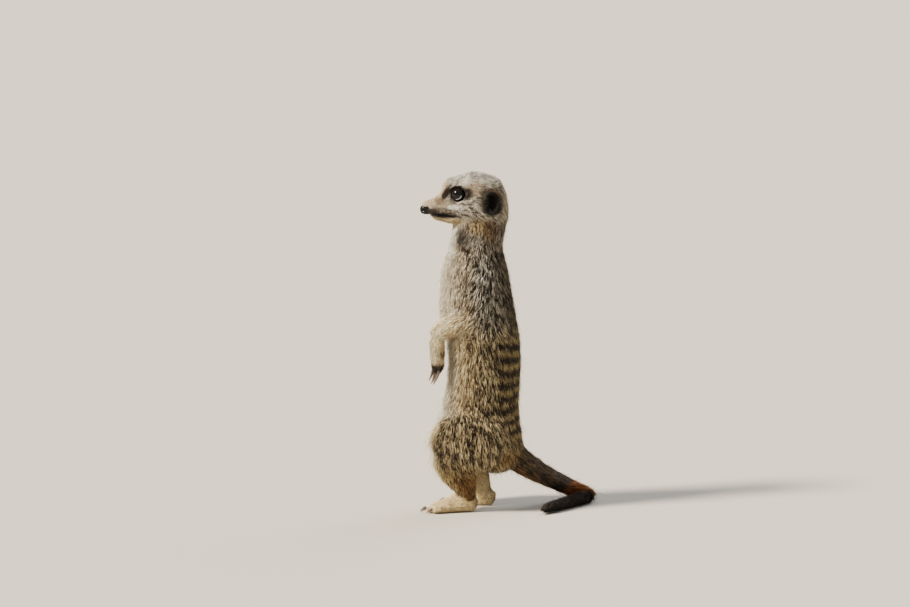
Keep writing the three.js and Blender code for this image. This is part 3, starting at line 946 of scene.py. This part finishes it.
# the forehead stands out over the eyes, and the crown is full
def shapeBrow(points):
    q = mirrored(points)
    brow = skinPlan["brow"] * blob(q, (-27, 0, 289.5), (9, 14, 7.5), 0.9)[:, None]
    crown = skinPlan["crown"] * blob(q, (-4, 0, 298), (14, 14, 6), 0.7)[:, None]
    return points + brow * np.array([-0.82, 0, 0.57]) + crown * np.array([0, 0, 1.0])


# a bowl pressed into each ear, with a thicker rim behind and above it
def shapeEars(points):
    x, y, z = points.T
    ahead, up = x - earPlan["centre"][0], z - earPlan["centre"][1]
    gap = np.hypot(ahead / earPlan["radii"][0], up / earPlan["radii"][1])
    rim = earPlan["rim"] * np.exp(-(((gap - 1.1) / 0.16) ** 2)) * rise(ahead + 0.5 * up, -2, 5)
    push = rise(np.abs(y), 18, 22) * (rim - earPlan["deep"] * rise(gap, 0.98, 0.5))
    return points + np.stack([0 * x, np.sign(y) * push, 0 * x], axis=1)


# grooves between the toes and between the fingers
def shapeDigits(points, normals):
    deep = np.zeros(len(points))
    x, y, z = points.T
    for side in sides:
        turn = side["y"] * footPlan["turnOut"]
        dx, dy = x - footPlan["heel"] - side["back"], y - side["y"] * footPlan["apart"]
        ahead = dy * np.sin(turn) - dx * np.cos(turn)
        out = dx * np.sin(turn) + dy * np.cos(turn)
        toes = rise(ahead, 31, 38) * (z < 14) * (np.abs(out) < 11)
        fingers = rise(z + side["drop"], 133, 127) * (z > 100) * (x < -28)
        across = y - side["y"] * handPlan["middle"]
        for gap in (-1, 0, 1):
            toe = np.exp(-(((out - handPlan["toeGap"] * gap) / 0.8) ** 2))
            finger = np.exp(-(((across - handPlan["fingerGap"] * gap) / 0.7) ** 2))
            deep += handPlan["toeDeep"] * toes * toe
            deep += handPlan["fingerDeep"] * fingers * finger
    return points - normals * deep[:, None]


# the hands turned about the upright through the wrist, outer fingers back
def turnHands(points):
    points = np.array(points, float)
    ahead, middle = handPlan["wrist"]
    for side in sides:
        away = points[:, :2] - (ahead, middle * side["y"])
        low = points[:, 2] + side["drop"]
        here = np.linalg.norm(away, axis=1) < handPlan["reach"]
        here = here & (low < handPlan["from"]) & (low > 100)
        angle = -side["y"] * np.radians(handPlan["turn"])
        angle = angle * rise(low, handPlan["from"], handPlan["to"]) * here
        points[:, 0] += (np.cos(angle) - 1) * away[:, 0] - np.sin(angle) * away[:, 1]
        points[:, 1] += np.sin(angle) * away[:, 0] + (np.cos(angle) - 1) * away[:, 1]
    return points


# Flesh nodes grown into one form and smoothed, most of all where forms run into each other,
# then moved in along the normals by the coat's depth, and shaped at face, ears, toes, fingers.
def buildSkin(material):
    mesh = remeshed(*bareFlesh())
    points = relax(toPlan(meshArrays(mesh)[0]), edgesOf(mesh), skinPlan["rounds"])
    back = skinPlan["farBack"] * (points[:, 1] > 0) * (points[:, 2] < 60)
    q = mirrored(points) - back[:, None] * [1, 0, 0]
    soft = np.max([blob(q, centre, radii, 0.5) for centre, radii in skinPlan["soft"]], axis=0)
    points = relax(points, edgesOf(mesh), skinPlan["softRounds"], 0.5, 0.0, soft)
    movePoints(mesh, points)
    refine(mesh, faceZone)
    refine(mesh, eyeZone)
    points, tris = meshArrays(mesh)
    points, pairs = toPlan(points), edgesOf(mesh)
    points = relax(points, pairs, 4)
    points = points - normalsOf(points, tris) * follow(points)["depth"][:, None]
    points = relax(points, pairs, 4)
    points = shapeEars(openEyes(shapeBrow(shapeMuzzle(points))))
    points = shapeMouth(points, normalsOf(points, tris))
    points = turnHands(shapeDigits(points, normalsOf(points, tris)))
    points[:, 2] = np.maximum(points[:, 2], skinPlan["lowest"])
    skin = newPiece("skin", points, tris, material)
    pale, dark, share = marks(points, follow(points))
    # the skin takes the coat's colour, darkened as painted shade under the hair
    addColours(skin, "coatTint", mix(pale, dark, share[:, None]) * skinPlan["shade"])
    bpy.data.meshes.remove(mesh)
    setPiece(skin, "coat", *fleshNodes)
    print("skin:", len(points), "points", len(tris), "triangles")
    return points, tris


# a ball with a cornea that swells out of it, pupil towards the gaze
def buildEye(side, material):
    centre, gaze, ahead, above = eyeFrame(side)
    rows, around = 56, 64
    a, t = ballAngles(rows, around)
    reach = eyePlan["radius"] - 0.1 + eyePlan["cornea"] * np.exp(-((a / 0.62) ** 2))
    way = np.cos(a)[:, None] * gaze
    way = way + (np.sin(a) * np.cos(t))[:, None] * ahead + (np.sin(a) * np.sin(t))[:, None] * above
    faces = cappedGrid(rows, around)
    if np.dot(np.cross(ahead, above), gaze) < 0:
        faces = faces[:, ::-1]
    eye = newPiece("eyeball_" + side["name"], centre + reach[:, None] * way, faces, material)
    addNumbers(eye, "fromGaze", a / (np.pi / 2))
    # painted reflection: a pale arc on the ball along the lower lid
    low = rise(t, *np.radians(eyePlan["tearFrom"])) * rise(t, *np.radians(eyePlan["tearTo"]))
    line = np.exp(-(((reach * np.sin(a) - eyePlan["tearReach"]) / eyePlan["tearWide"]) ** 2))
    addNumbers(eye, "tearLine", eyePlan["tearBright"] * low * line * (a < 1.5))
    return setPiece(eye, "eye", "eye_" + side["name"])


# a ring of bare skin along the opening, oval in section, thicker at the corners
def buildLid(side, material):
    centre, gaze, ahead, above = eyeFrame(side)
    count, around = 72, 10
    t, s = np.meshgrid(turns(count), turns(around), indexing="ij")
    t, s = t.ravel(), s.ravel()
    corner = np.abs(np.cos(t)) ** 6
    reach = lidOpening(t) + eyePlan["rimWide"] * (1 + 0.6 * corner) * np.cos(s) + 0.14
    flat = np.minimum(lidOpening(t) + 0.14, eyePlan["radius"] - 0.15)
    height = np.sqrt(eyePlan["radius"] ** 2 - flat**2) + 0.22 + eyePlan["rimDeep"] * np.sin(s)
    points = centre + height[:, None] * gaze
    points = points + (reach * np.cos(t))[:, None] * ahead + (reach * np.sin(t))[:, None] * above
    ring, step = np.meshgrid(np.arange(count), np.arange(around), indexing="ij")
    square = ((0, 0), (1, 0), (1, 1), (0, 1))
    quads = [(ring + one) % count * around + (step + two) % around for one, two in square]
    faces = np.stack([quad.ravel() for quad in quads], axis=1)
    if np.dot(np.cross(ahead, above), gaze) > 0:
        faces = faces[:, ::-1]
    lid = newPiece("eyelid_rim_" + side["name"], points, faces, material)
    return setPiece(lid, "nose_skin")


# how near the ways are to a direction, 1 along it, with the width in radians
def nearWay(way, heading, wide):
    return np.exp(-((np.arccos(np.clip(way @ unit(np.array(heading)), -1, 1)) / wide) ** 2))


# a rounded box, wide above and narrow below, with two nostrils that run out in slits to the
# sides, and a groove down the middle below
def buildNose(material):
    rows, around = 60, 96
    v, u = ballAngles(rows, around)
    box = np.stack([-np.cos(v), np.sin(v), np.cos(u), np.sin(u)])
    box = np.sign(box) * np.abs(box) ** nosePlan["boxy"]
    up = box[1] * box[3]
    points = np.stack([box[0], box[1] * box[2] * (0.84 + 0.2 * up), up], axis=1)
    points = points * [nosePlan["long"], nosePlan["wide"], nosePlan["high"]]
    way = unit(points)
    bend, pit = np.zeros(len(points)), np.zeros(len(points))
    for flip in (-1, 1):
        fold = np.array([1, flip, 1])
        nostril = nearWay(way, fold * nosePlan["nostril"], nosePlan["nostrilWide"])
        bend += nosePlan["nostrilDeep"] * nostril
        pit += nostril
        level = np.abs(way @ unit(np.array([0.0, 0.1 * flip, 1.0])) + 0.16)
        slit = np.exp(-((level / 0.12) ** 2)) * nearWay(way, fold * nosePlan["slit"], 0.5)
        bend += nosePlan["slitDeep"] * slit
    x, y, z = points.T
    bend += nosePlan["splitDeep"] * np.exp(-((y / 0.4) ** 2)) * rise(z, 0.6, -1.0) * rise(x, 0, -2)
    points = np.array(nosePlan["centre"]) + points - way * bend[:, None]
    nose = newPiece("nose_pad", points, cappedGrid(rows, around)[:, ::-1], material)
    addNumbers(nose, "pit", pit)
    return setPiece(nose, "nose_skin", "nose")


# a horn curved along three points, deeper than wide, that thins to a blunt tip
def buildClaw(node, path, material):
    rows, around = 14, 12
    t = np.linspace(0, 1, rows)[:, None]
    one, two, three = (np.array(p, float) for p in path)
    middle = (1 - t) ** 2 * one + 2 * t * (1 - t) * two + t**2 * three
    tangent = unit(2 * (1 - t) * (two - one) + 2 * t * (three - two))
    across = unit(np.cross(tangent, (0.0, 0.0, 1.0) if abs(tangent[0, 2]) < 0.8 else (1.0, 0.0, 0.0)))
    across = np.broadcast_to(across[0], tangent.shape)
    above = np.cross(across, tangent)
    size = (1 - t**1.6) * 0.92 + 0.08
    spin = turns(around)[None, :, None]
    ring = clawPlan["wide"] * np.cos(spin) * across[:, None]
    ring = ring + clawPlan["high"] * np.sin(spin) * above[:, None]
    rings = (middle[:, None] + size[:, None] * ring).reshape(-1, 3)
    poles = [one[None] - 0.2 * tangent[:1], three[None] + 0.25 * tangent[-1:]]
    points = np.concatenate([rings, *poles])
    claw = newPiece("horn_" + node, points, cappedGrid(rows, around), material)
    worn = clawPlan["fingerPale" if node.startswith("finger") else "toePale"]
    addNumbers(claw, "along", worn * np.append(np.repeat(t.ravel(), around), [0, 1]))
    return setPiece(claw, "claw", node)


clawPlan = {
    "fingerOut": (-5.2, -1.8, 1.8, 5.2),
    "fingerReach": (-3.0, 0.0, 0.0, -2.5),
    "toeOut": (-7.2, -2.5, 2.5, 7.2),
    "toeReach": (-4.5, 0.0, -0.4, -5.0),
    "wide": 0.85,
    "high": 1.3,
    "fingerPale": 1.0,  # how far the horn pales to its tip
    "toePale": 0.4,
}


# each claw's node with the three points of its curve
def clawPaths():
    for side in sides:
        name, y = side["name"], side["y"]
        for k, (out, reach) in enumerate(zip(clawPlan["fingerOut"], clawPlan["fingerReach"])):
            low, middle = -side["drop"] - reach, y * handPlan["middle"]
            curve = [(-38.6, 1.1, 123.5), (-40.4, 1.15, 117.0), (-43.0, 1.2, 113.2)]
            curve = [(x, middle + out * spread, z + low) for x, spread, z in curve]
            yield f"finger_claw_{name}_{k + 1}", turnHands(curve)
        for k, (out, reach) in enumerate(zip(clawPlan["toeOut"], clawPlan["toeReach"])):
            curve = [(43.4, 1.08, 4.6), (47.4, 1.1, 4.6), (49.6, 1.1, 1.2)]
            curve = [footPoint(side, x + reach, out * spread, z) for x, spread, z in curve]
            yield f"toe_claw_{name}_{k + 1}", curve


whiskerPlan = {"count": 9, "length": (8.0, 15.0), "radius": 0.09, "droop": 0.16}


# long stiff hairs of the lip: thin tapering rods, bent down by their weight
def buildWhiskers(points, normals, material):
    rods, faces = [], []
    rows, around = 8, 4
    t = np.linspace(0, 1, rows)[:, None]
    spin = turns(around)[None, :, None]
    for side in sides:
        for k in range(whiskerPlan["count"]):
            spot = np.array((-44 + 2.4 * (k % 4), 5.5 * side["y"], 264.4 + 1.3 * (k // 4)))
            index = np.argmin(np.linalg.norm(points - spot, axis=1))
            spread = np.array([0.6 + 0.4 * rng.random(), 0.3 * side["y"], rng.normal(-0.05, 0.1)])
            way = unit(normals[index] * 0.55 + spread)
            length = rng.uniform(*whiskerPlan["length"])
            middle = points[index] - 0.3 * normals[index] + length * t * way
            middle = middle - np.array([0, 0, 1.0]) * whiskerPlan["droop"] * length * t**2
            across = unit(np.cross(way, (0.1, 0.2, 1.0)))
            ring = np.cos(spin) * across + np.sin(spin) * np.cross(across, way)
            ring = whiskerPlan["radius"] * (1 - 0.85 * t[:, None]) * ring
            faces.append(cappedGrid(rows, around) + len(rods) * (rows * around + 2))
            body = (middle[:, None] + ring).reshape(-1, 3)
            rods.append(np.concatenate([body, middle[:1], middle[-1:] + 0.4 * way]))
    piece = newPiece("whiskers", np.concatenate(rods), np.concatenate(faces), material)
    return setPiece(piece, "face_coat")


# The coat. Cover is how many tufts lie over each other where hair is short and where long.
coatPlan = {
    "coverShort": 2.6,
    "coverLong": 4.4,
    "bareFeet": 0.5,  # share of the cover that the feet keep
    "wideBase": 0.19,
    "widePerLength": 0.031,
    "lengthSpread": 0.18,
    "turnSpread": 0.18,
    "liftSpread": 0.28,
    "swirl": 0.16,
    "gather": 0.4,
    "lockWideBase": 0.3,  # a lock of hairs has one colour; it is this wide, and more for its length
    "lockWidePerLength": 0.052,
    "lockLong": 0.44,  # of a hair's length
    "lockLimit": 8.0,  # hair longer than this has locks of this hair's size
    "stray": 0.02,  # the share of long hairs that stand out, and that on the belly's edge
    "strayBelly": 0.10,
    "strayFrom": 4.5,
    "strayLift": 0.4,  # radians
    "strayLonger": 0.5,
    "strayThinner": 0.4,
    "partEyes": 0.7,
    "armSlant": 1.1,
    "rootDeep": 0.3,
    "leanMost": 0.3,  # of the tuft's length
    "bend": (0.42, 0.6, 0.45),  # shares of the way along, up and aside at the widest place
    "ridge": 0.8,  # height of the ring over half its width
    "lowest": 0.3,
    "lowestRoot": 0.05,
    "seenAt": 0.6,
    "rootDark": 0.6,
    # painted shade deep in the coat darkens the roots further
    "rootShade": 0.38,
    "ringShade": 0.88,
    "tipShades": (0.8, 1.3),  # of dark and of pale hairs
    "most": 33200,  # tufts in one piece
    "locked": 0.62,  # the share of hairs that take the colour of their lock
    "tintSpread": 0.2,
    "patch": 0.0015,  # half a tuft's patch on the map
    "mapEdge": 0.004,
}


# smooth wandering vectors: sums of sine waves in fixed directions, 14 to 40 mm long
def wander(points, seed):
    source = np.random.default_rng(seed)
    result = np.zeros((len(points), 3))
    for _ in range(6):
        wave = unit(source.normal(size=3)) * 2 * np.pi / source.uniform(14, 40)
        result += np.sin(points @ wave + source.uniform(0, 6.3))[:, None] * unit(source.normal(size=3))
    return result / 2.4


# a tuft is wider the longer it is, in a straight line
def hairWidth(length):
    return coatPlan["wideBase"] + coatPlan["widePerLength"] * length


# where hair grows: not on the nose, in the eyes, on the mouth line or under the soles
def furred(points, normals):
    keep = np.ones(len(points))
    for side in sides:
        centre, gaze, ahead, above = eyeFrame(side)
        rel = points - centre
        up, across = rel @ above, rel @ ahead
        inside = (np.hypot(up, across) < lidOpening(np.arctan2(up, across)) + 0.4) & (rel @ gaze > 0)
        keep[inside & (np.linalg.norm(rel, axis=1) < 12)] = 0
    pad = (nosePlan["long"], nosePlan["wide"], nosePlan["high"])
    keep[blob(points, nosePlan["centre"], pad, 0.02) > 0.5] = 0
    lips = np.abs(points[:, 2] - mouthLine(points)) < 0.4
    keep[lips & (points[:, 0] < mouthPlan["corner"])] = 0
    keep[(points[:, 2] < 1.6) & (normals[:, 2] < -0.5)] = 0
    return keep


# the piece of the coat that each hair is in; a later row takes over from an earlier one
def pieceOf(state, points):
    part = np.array([name.split("_")[0] for name in partNames])[state["owner"]]
    x, z = points[:, 0], points[:, 2]
    names = np.full(len(points), "coat_feet", dtype="<U24")
    for name, where in (
        ("cheeks", (part == "head") | (part == "ear")),
        ("crown", (part == "head") & (z > 280)),
        ("muzzle", (part == "head") & (x < -27)),
        ("rump", part == "trunk"),
        ("waist", (part == "trunk") & (z > 118)),
        ("chest", (part == "trunk") & (z > 172)),
        ("neck", (part == "trunk") & (z > 226)),
        ("arms", part == "arm"),
        ("thighs", part == "thigh"),
        ("tail", part == "tail"),
    ):
        names[where] = "coat_" + name
    return names


coatSlots = {
    "coat_muzzle": "face_coat",
    "coat_crown": "face_coat",
    "coat_cheeks": "face_coat",
    "coat_neck": "coat",
    "coat_chest": "coat",
    "coat_waist": "coat",
    "coat_rump": "coat",
    "coat_arms": "limb_coat",
    "coat_thighs": "coat",
    "coat_feet": "limb_coat",
    "coat_tail": "tail_coat",
}


# random places on the skin, as many for each triangle as its area and its hair call for
def plantRoots(points, tris, normals):
    corners = points[tris]
    middle = corners.mean(axis=1)
    size = np.cross(corners[:, 1] - corners[:, 0], corners[:, 2] - corners[:, 0])
    area = np.linalg.norm(size, axis=1) / 2
    state = follow(middle)
    length = state["length"]
    cover = mix(coatPlan["coverShort"], coatPlan["coverLong"], rise(length, 2.5, 7))
    cover = cover * mix(1.0, coatPlan["bareFeet"], shareOf(state, "foot"))
    density = cover / (0.5 * length * hairWidth(length))
    wanted = area * density * furred(middle, unit(size))
    count = rng.poisson(wanted)
    chosen = np.repeat(np.arange(len(tris)), count)
    a, b = rng.random(len(chosen)), rng.random(len(chosen))
    a, b = np.where(a + b > 1, 1 - a, a)[:, None], np.where(a + b > 1, 1 - b, b)[:, None]
    one, two, three = tris[chosen].T
    roots = points[one] * (1 - a - b) + points[two] * a + points[three] * b
    way = unit(normals[one] * (1 - a - b) + normals[two] * a + normals[three] * b)
    keep = furred(roots, way) > 0
    return roots[keep], way[keep]


# The number of the lock that each hair is in. Locks lie like bricks along the hair's way,
# each row of them shifted by its own random step.
def lockOf(state, length):
    wide = coatPlan["lockWideBase"] + coatPlan["lockWidePerLength"] * length
    shift = np.random.default_rng(8).random(4096)
    column = np.floor(state["column"] / wide).astype(np.int64)
    step = state["row"] / (coatPlan["lockLong"] * length)
    row = np.floor(step + 7 * shift[column % 4096]).astype(np.int64)
    keys = (state["owner"].astype(np.int64) * 8192 + (column + 4096)) * 8192 + row + 4096
    _, lock = np.unique(keys, return_inverse=True)
    return lock.reshape(-1)


# the mean of the values of all that share a lock
def lockMean(values, lock):
    count = np.bincount(lock)
    return np.stack([np.bincount(lock, values[:, k]) / count for k in range(3)], axis=1)[lock]


# The way each hair lies: along its guide with a wandering swirl, less what points out of the
# skin, then turned a little at random.
def comb(roots, out, state):
    lie = state["lie"] + coatPlan["swirl"] * wander(roots, 3)
    # hair parts round the eyes and runs off the bridge of the nose to both sides
    for side in sides:
        away = roots - np.array(eyePlan["centre"]) * [1, side["y"], 1]
        lie += unit(away) * (coatPlan["partEyes"] * blob(away, (0, 0, 0), (11, 11, 9), 0.5))[:, None]
    # on the upper arm it falls slanting, as on the chest
    slant = coatPlan["armSlant"] * rise(shareOf(state, "arm"), 0.2, 0.6)
    slant = slant * rise(roots[:, 0], -34, -18)
    lie += slant[:, None] * unit(np.array([-0.45, 0.0, -0.9]))
    lie = lie - out * np.sum(lie * out, axis=1, keepdims=True)
    lie = unit(lie + 1e-6)
    turn = rng.normal(0, coatPlan["turnSpread"], len(roots))[:, None]
    return unit(lie * np.cos(turn) + np.cross(out, lie) * np.sin(turn))


# A tuft is a closed spindle of three sides: a root, a ring at its widest place and a tip,
# bent at the ring so that it leaves the skin steeply and then lies down. Tips of a lock lean
# to their mean. With the corners comes the place that each tuft covers.
def shapeTufts(roots, out, lie, state, lock):
    count = len(roots)
    length = state["length"] * np.exp(rng.normal(0, coatPlan["lengthSpread"], count))
    lift = state["lift"] * np.exp(rng.normal(0, coatPlan["liftSpread"], count))
    half = (0.5 * hairWidth(state["length"]) * rng.uniform(0.75, 1.25, count))[:, None]
    edge = np.maximum(blob(roots, (-33, 0, 92), (12, 40, 14)), blob(roots, (-38, 0, 58), (13, 40, 24)))
    chance = mix(coatPlan["stray"], coatPlan["strayBelly"], edge)
    stray = rng.random(count) < chance * (length > coatPlan["strayFrom"])
    lift = lift + (coatPlan["strayLift"] + 0.1 * edge) * stray
    length = length * (1 + (coatPlan["strayLonger"] + 0.5 * edge) * stray)
    half = half * (1 - coatPlan["strayThinner"] * stray)[:, None]
    base = roots - coatPlan["rootDeep"] * out
    run = lie * (length * np.cos(lift))[:, None]
    climb = out * (length * np.sin(lift))[:, None]
    tips = base + run + climb
    lean = coatPlan["gather"] * (lockMean(tips, lock) - tips)
    lean = lean - lie * np.sum(lean * lie, axis=1, keepdims=True)
    reach = np.maximum(np.linalg.norm(lean, axis=1), 1e-6)
    lean = lean * np.minimum(1, coatPlan["leanMost"] * length / reach)[:, None]
    ahead, up, aside = coatPlan["bend"]
    middle = base + ahead * run + up * climb + aside * lean
    tips = tips + lean
    across = np.cross(out, lie)
    left, right = middle - across * half, middle + across * half
    top = middle + out * half * coatPlan["ridge"]
    solid = np.stack([base, left, right, top, tips], axis=1)
    solid[:, 1:, 2] = np.maximum(solid[:, 1:, 2], coatPlan["lowest"])
    solid[:, 0, 2] = np.maximum(solid[:, 0, 2], coatPlan["lowestRoot"])
    return solid, base + coatPlan["seenAt"] * run


# The colours of a tuft's five corners. Its luck is its lock's or its own, and it is dark where
# that is less than the share of dark hairs at the place that it covers.
def tintTufts(seen, state, lock):
    count = len(seen)
    pale, dark, share = marks(seen, state)
    lockLuck = np.random.default_rng(9).random(lock.max() + 1)[lock]
    luck = np.where(rng.random(count) < coatPlan["locked"], lockLuck, rng.random(count))
    isDark = luck < share
    body = np.where(isDark[:, None], dark, pale)
    body = body * np.exp(rng.normal(0, coatPlan["tintSpread"], count))[:, None]
    # a root mixes toward the dark hair's colour, its dark base, then is darkened as painted shade deep
    # in the coat
    root = mix(body, dark, coatPlan["rootDark"]) * coatPlan["rootShade"]
    ring = body * coatPlan["ringShade"]
    tip = body * np.where(isDark, *coatPlan["tipShades"])[:, None]
    return np.clip(np.stack([root, ring, ring, ring, tip], axis=1), 0.002, 0.95)


# The map is the skin unrolled: round the part by along the part, the two sides next to each
# other, and each tuft a small patch in its place.
def addMap(piece, state, rows):
    isRight = np.array([name.endswith("right") for name in partNames])[state["owner"][rows]]
    isPaired = np.array(["_" in name for name in partNames])[state["owner"][rows]]
    u = state["around"][rows] / (2 * np.pi) + 0.5
    u = np.where(isPaired, (u + isRight) / 2, u)
    spots = np.stack([u, state["along"][rows]], axis=1)
    low, high = spots.min(axis=0), spots.max(axis=0)
    spots = coatPlan["mapEdge"] + (1 - 2 * coatPlan["mapEdge"]) * (spots - low) / (high - low)
    corners = np.array([(0, -1), (-1, 0), (1, 0), (0.2, 0.3), (0, 1)]) * coatPlan["patch"]
    uv = spots[:, None, None] + corners[tuftFaces][None]
    layer = piece.data.uv_layers.new(name="OFBake")
    layer.data.foreach_set("uv", uv.astype(np.float32).ravel())


tuftFaces = np.array([(0, 2, 1), (0, 3, 2), (0, 1, 3), (4, 1, 2), (4, 2, 3), (4, 3, 1)])


# Roots are planted, combed, grown to tufts and tinted, then dealt out to the pieces.
def buildCoat(points, tris, materials):
    roots, out = plantRoots(points, tris, normalsOf(points, tris))
    state = follow(roots)
    lie = comb(roots, out, state)
    lock = lockOf(state, np.minimum(state["length"], coatPlan["lockLimit"]))
    solid, seen = shapeTufts(roots, out, lie, state, lock)
    tints = tintTufts(seen, state, lock)
    names = pieceOf(state, roots)
    total = 0
    for name, slot in coatSlots.items():
        rows = np.flatnonzero(names == name)
        if len(rows) > coatPlan["most"]:
            rows = np.sort(rng.choice(rows, coatPlan["most"], replace=False))
        faces = (tuftFaces[None] + 5 * np.arange(len(rows))[:, None, None]).reshape(-1, 3)
        piece = newPiece(name, solid[rows].reshape(-1, 3), faces, materials[slot])
        addColours(piece, "coatTint", tints[rows].reshape(-1, 3))
        addMap(piece, state, rows)
        setPiece(piece, slot)
        total += len(faces)
        print(" ", name, len(rows), "tufts")
    print("coat:", len(roots), "tufts", total, "triangles")


cameraPlan = {
    "target": (-22.0, 4.45, 182.0),
    "distance": 6000.0,
    "elevation": 8.0,  # degrees above the floor
    "lens": 269.7,
}
lightPlan = [
    # name, where it comes from, degrees across, watts a square metre, colour
    ("key", (-1.75, -0.75, 1.75), 11.0, 11.0, "#FFF3DE"),
    ("back", (1.4, 1.9, 1.7), 35.0, 1.9, "#FFFFFF"),
]
stagePlan = {
    "floor": "#BBB6AC",
    "sky": "#E8E7E5",
    "skyStrength": 0.68,
    "wall": "#FFEFD5",  # what is seen above the floor's far edge: as bright as the lit floor
    "wallStrength": 1.76,
    "reach": 40.0,  # metres
}


# puts a thing at a place and turns its -Z axis to the target
def face(obj, place, target):
    obj.location = place
    obj.rotation_euler = (Vector(target) - Vector(place)).to_track_quat("-Z", "Y").to_euler()


# The camera stands back from its target along the elevation, in the plane of its azimuth 0.
def buildStage():
    scene = bpy.context.scene
    lens = bpy.data.cameras.new("camera")
    lens.lens, lens.sensor_width, lens.clip_end = cameraPlan["lens"], 36.0, 100.0
    camera = bpy.data.objects.new("camera", lens)
    scene.collection.objects.link(camera)
    tilt = np.radians(cameraPlan["elevation"])
    target = toScene(cameraPlan["target"])
    away = cameraPlan["distance"] * mm * np.array([0, -np.cos(tilt), np.sin(tilt)])
    face(camera, target + away, target)
    scene.camera = camera
    for name, place, breadth, watts, colour in lightPlan:
        lamp = bpy.data.lights.new(name, "SUN")
        lamp.angle, lamp.energy, lamp.color = np.radians(breadth), watts, linear(colour)
        light = bpy.data.objects.new(name, lamp)
        scene.collection.objects.link(light)
        face(light, place, (0, 0, 0))
    # the sky lights the room; seen directly it is a plain wall
    world = bpy.data.worlds.new("studio")
    world.use_nodes = True
    scene.world, tree = world, world.node_tree
    sky, wall = tree.nodes["Background"], addNode(tree, "Background")
    for node, name in ((sky, "sky"), (wall, "wall")):
        look = {"Color": paint(stagePlan[name]), "Strength": stagePlan[name + "Strength"]}
        setInputs(tree, node, look)
    ray = addNode(tree, "LightPath").outputs["Is Camera Ray"]
    seen = addNode(tree, "MixShader", {0: ray, 1: sky.outputs[0], 2: wall.outputs[0]})
    setInputs(tree, tree.nodes["World Output"], {"Surface": seen.outputs[0]})
    # painted studio floor: even and matt, with a very fine roller stipple
    material, tree, shader = newMaterial("painted_floor")
    stipple = addNode(tree, "TexNoise", grainOf(tree, 3.0, Detail=3.0))
    bump = {"Height": stipple.outputs["Fac"], "Distance": 0.05 * mm, "Strength": 0.4}
    bump = addNode(tree, "Bump", bump)
    look = {"Base Color": paint(stagePlan["floor"]), "Roughness": 0.8}
    setInputs(tree, shader, {**look, "Normal": bump.outputs["Normal"]})
    mesh = bpy.data.meshes.new("floor")
    edge = stagePlan["reach"]
    corners = [(x * edge, y * edge, 0) for x, y in ((-1, -1), (1, -1), (1, 1), (-1, 1))]
    mesh.from_pydata(corners, [], [(0, 1, 2, 3)])
    mesh.materials.append(material)
    floor = bpy.data.objects.new("floor", mesh)
    scene.collection.objects.link(floor)
    print("stage: camera, floor and", len(lightPlan), "lights")


buildStage()
furFinish = {
    "coat": hairMaterial("guard_hair"),
    "face_coat": hairMaterial("face_hair"),
    "limb_coat": hairMaterial("limb_hair"),
    "tail_coat": hairMaterial("tail_hair"),
}
skinPoints, skinTris = buildSkin(hairMaterial("skin_with_underfur", 0.75, 0.8, 0.35))
eyeFinish = eyeMaterial("wet_cornea")
lidFinish = bareSkinMaterial("eyelid_skin", "#100C0B", 0.7, 0.5, 0.0, 0.08)
for side in sides:
    buildEye(side, eyeFinish)
    buildLid(side, lidFinish)
buildNose(bareSkinMaterial("nose_leather", "#0B0909", 0.5, 0.55, 0.32, 0.08))
hornFinish = hornMaterial("claw_horn")
for node, path in clawPaths():
    buildClaw(node, path, hornFinish)
print("eyes, lids, nose and claws done")
buildCoat(skinPoints, skinTris, furFinish)
buildWhiskers(skinPoints, normalsOf(skinPoints, skinTris), furFinish["face_coat"])
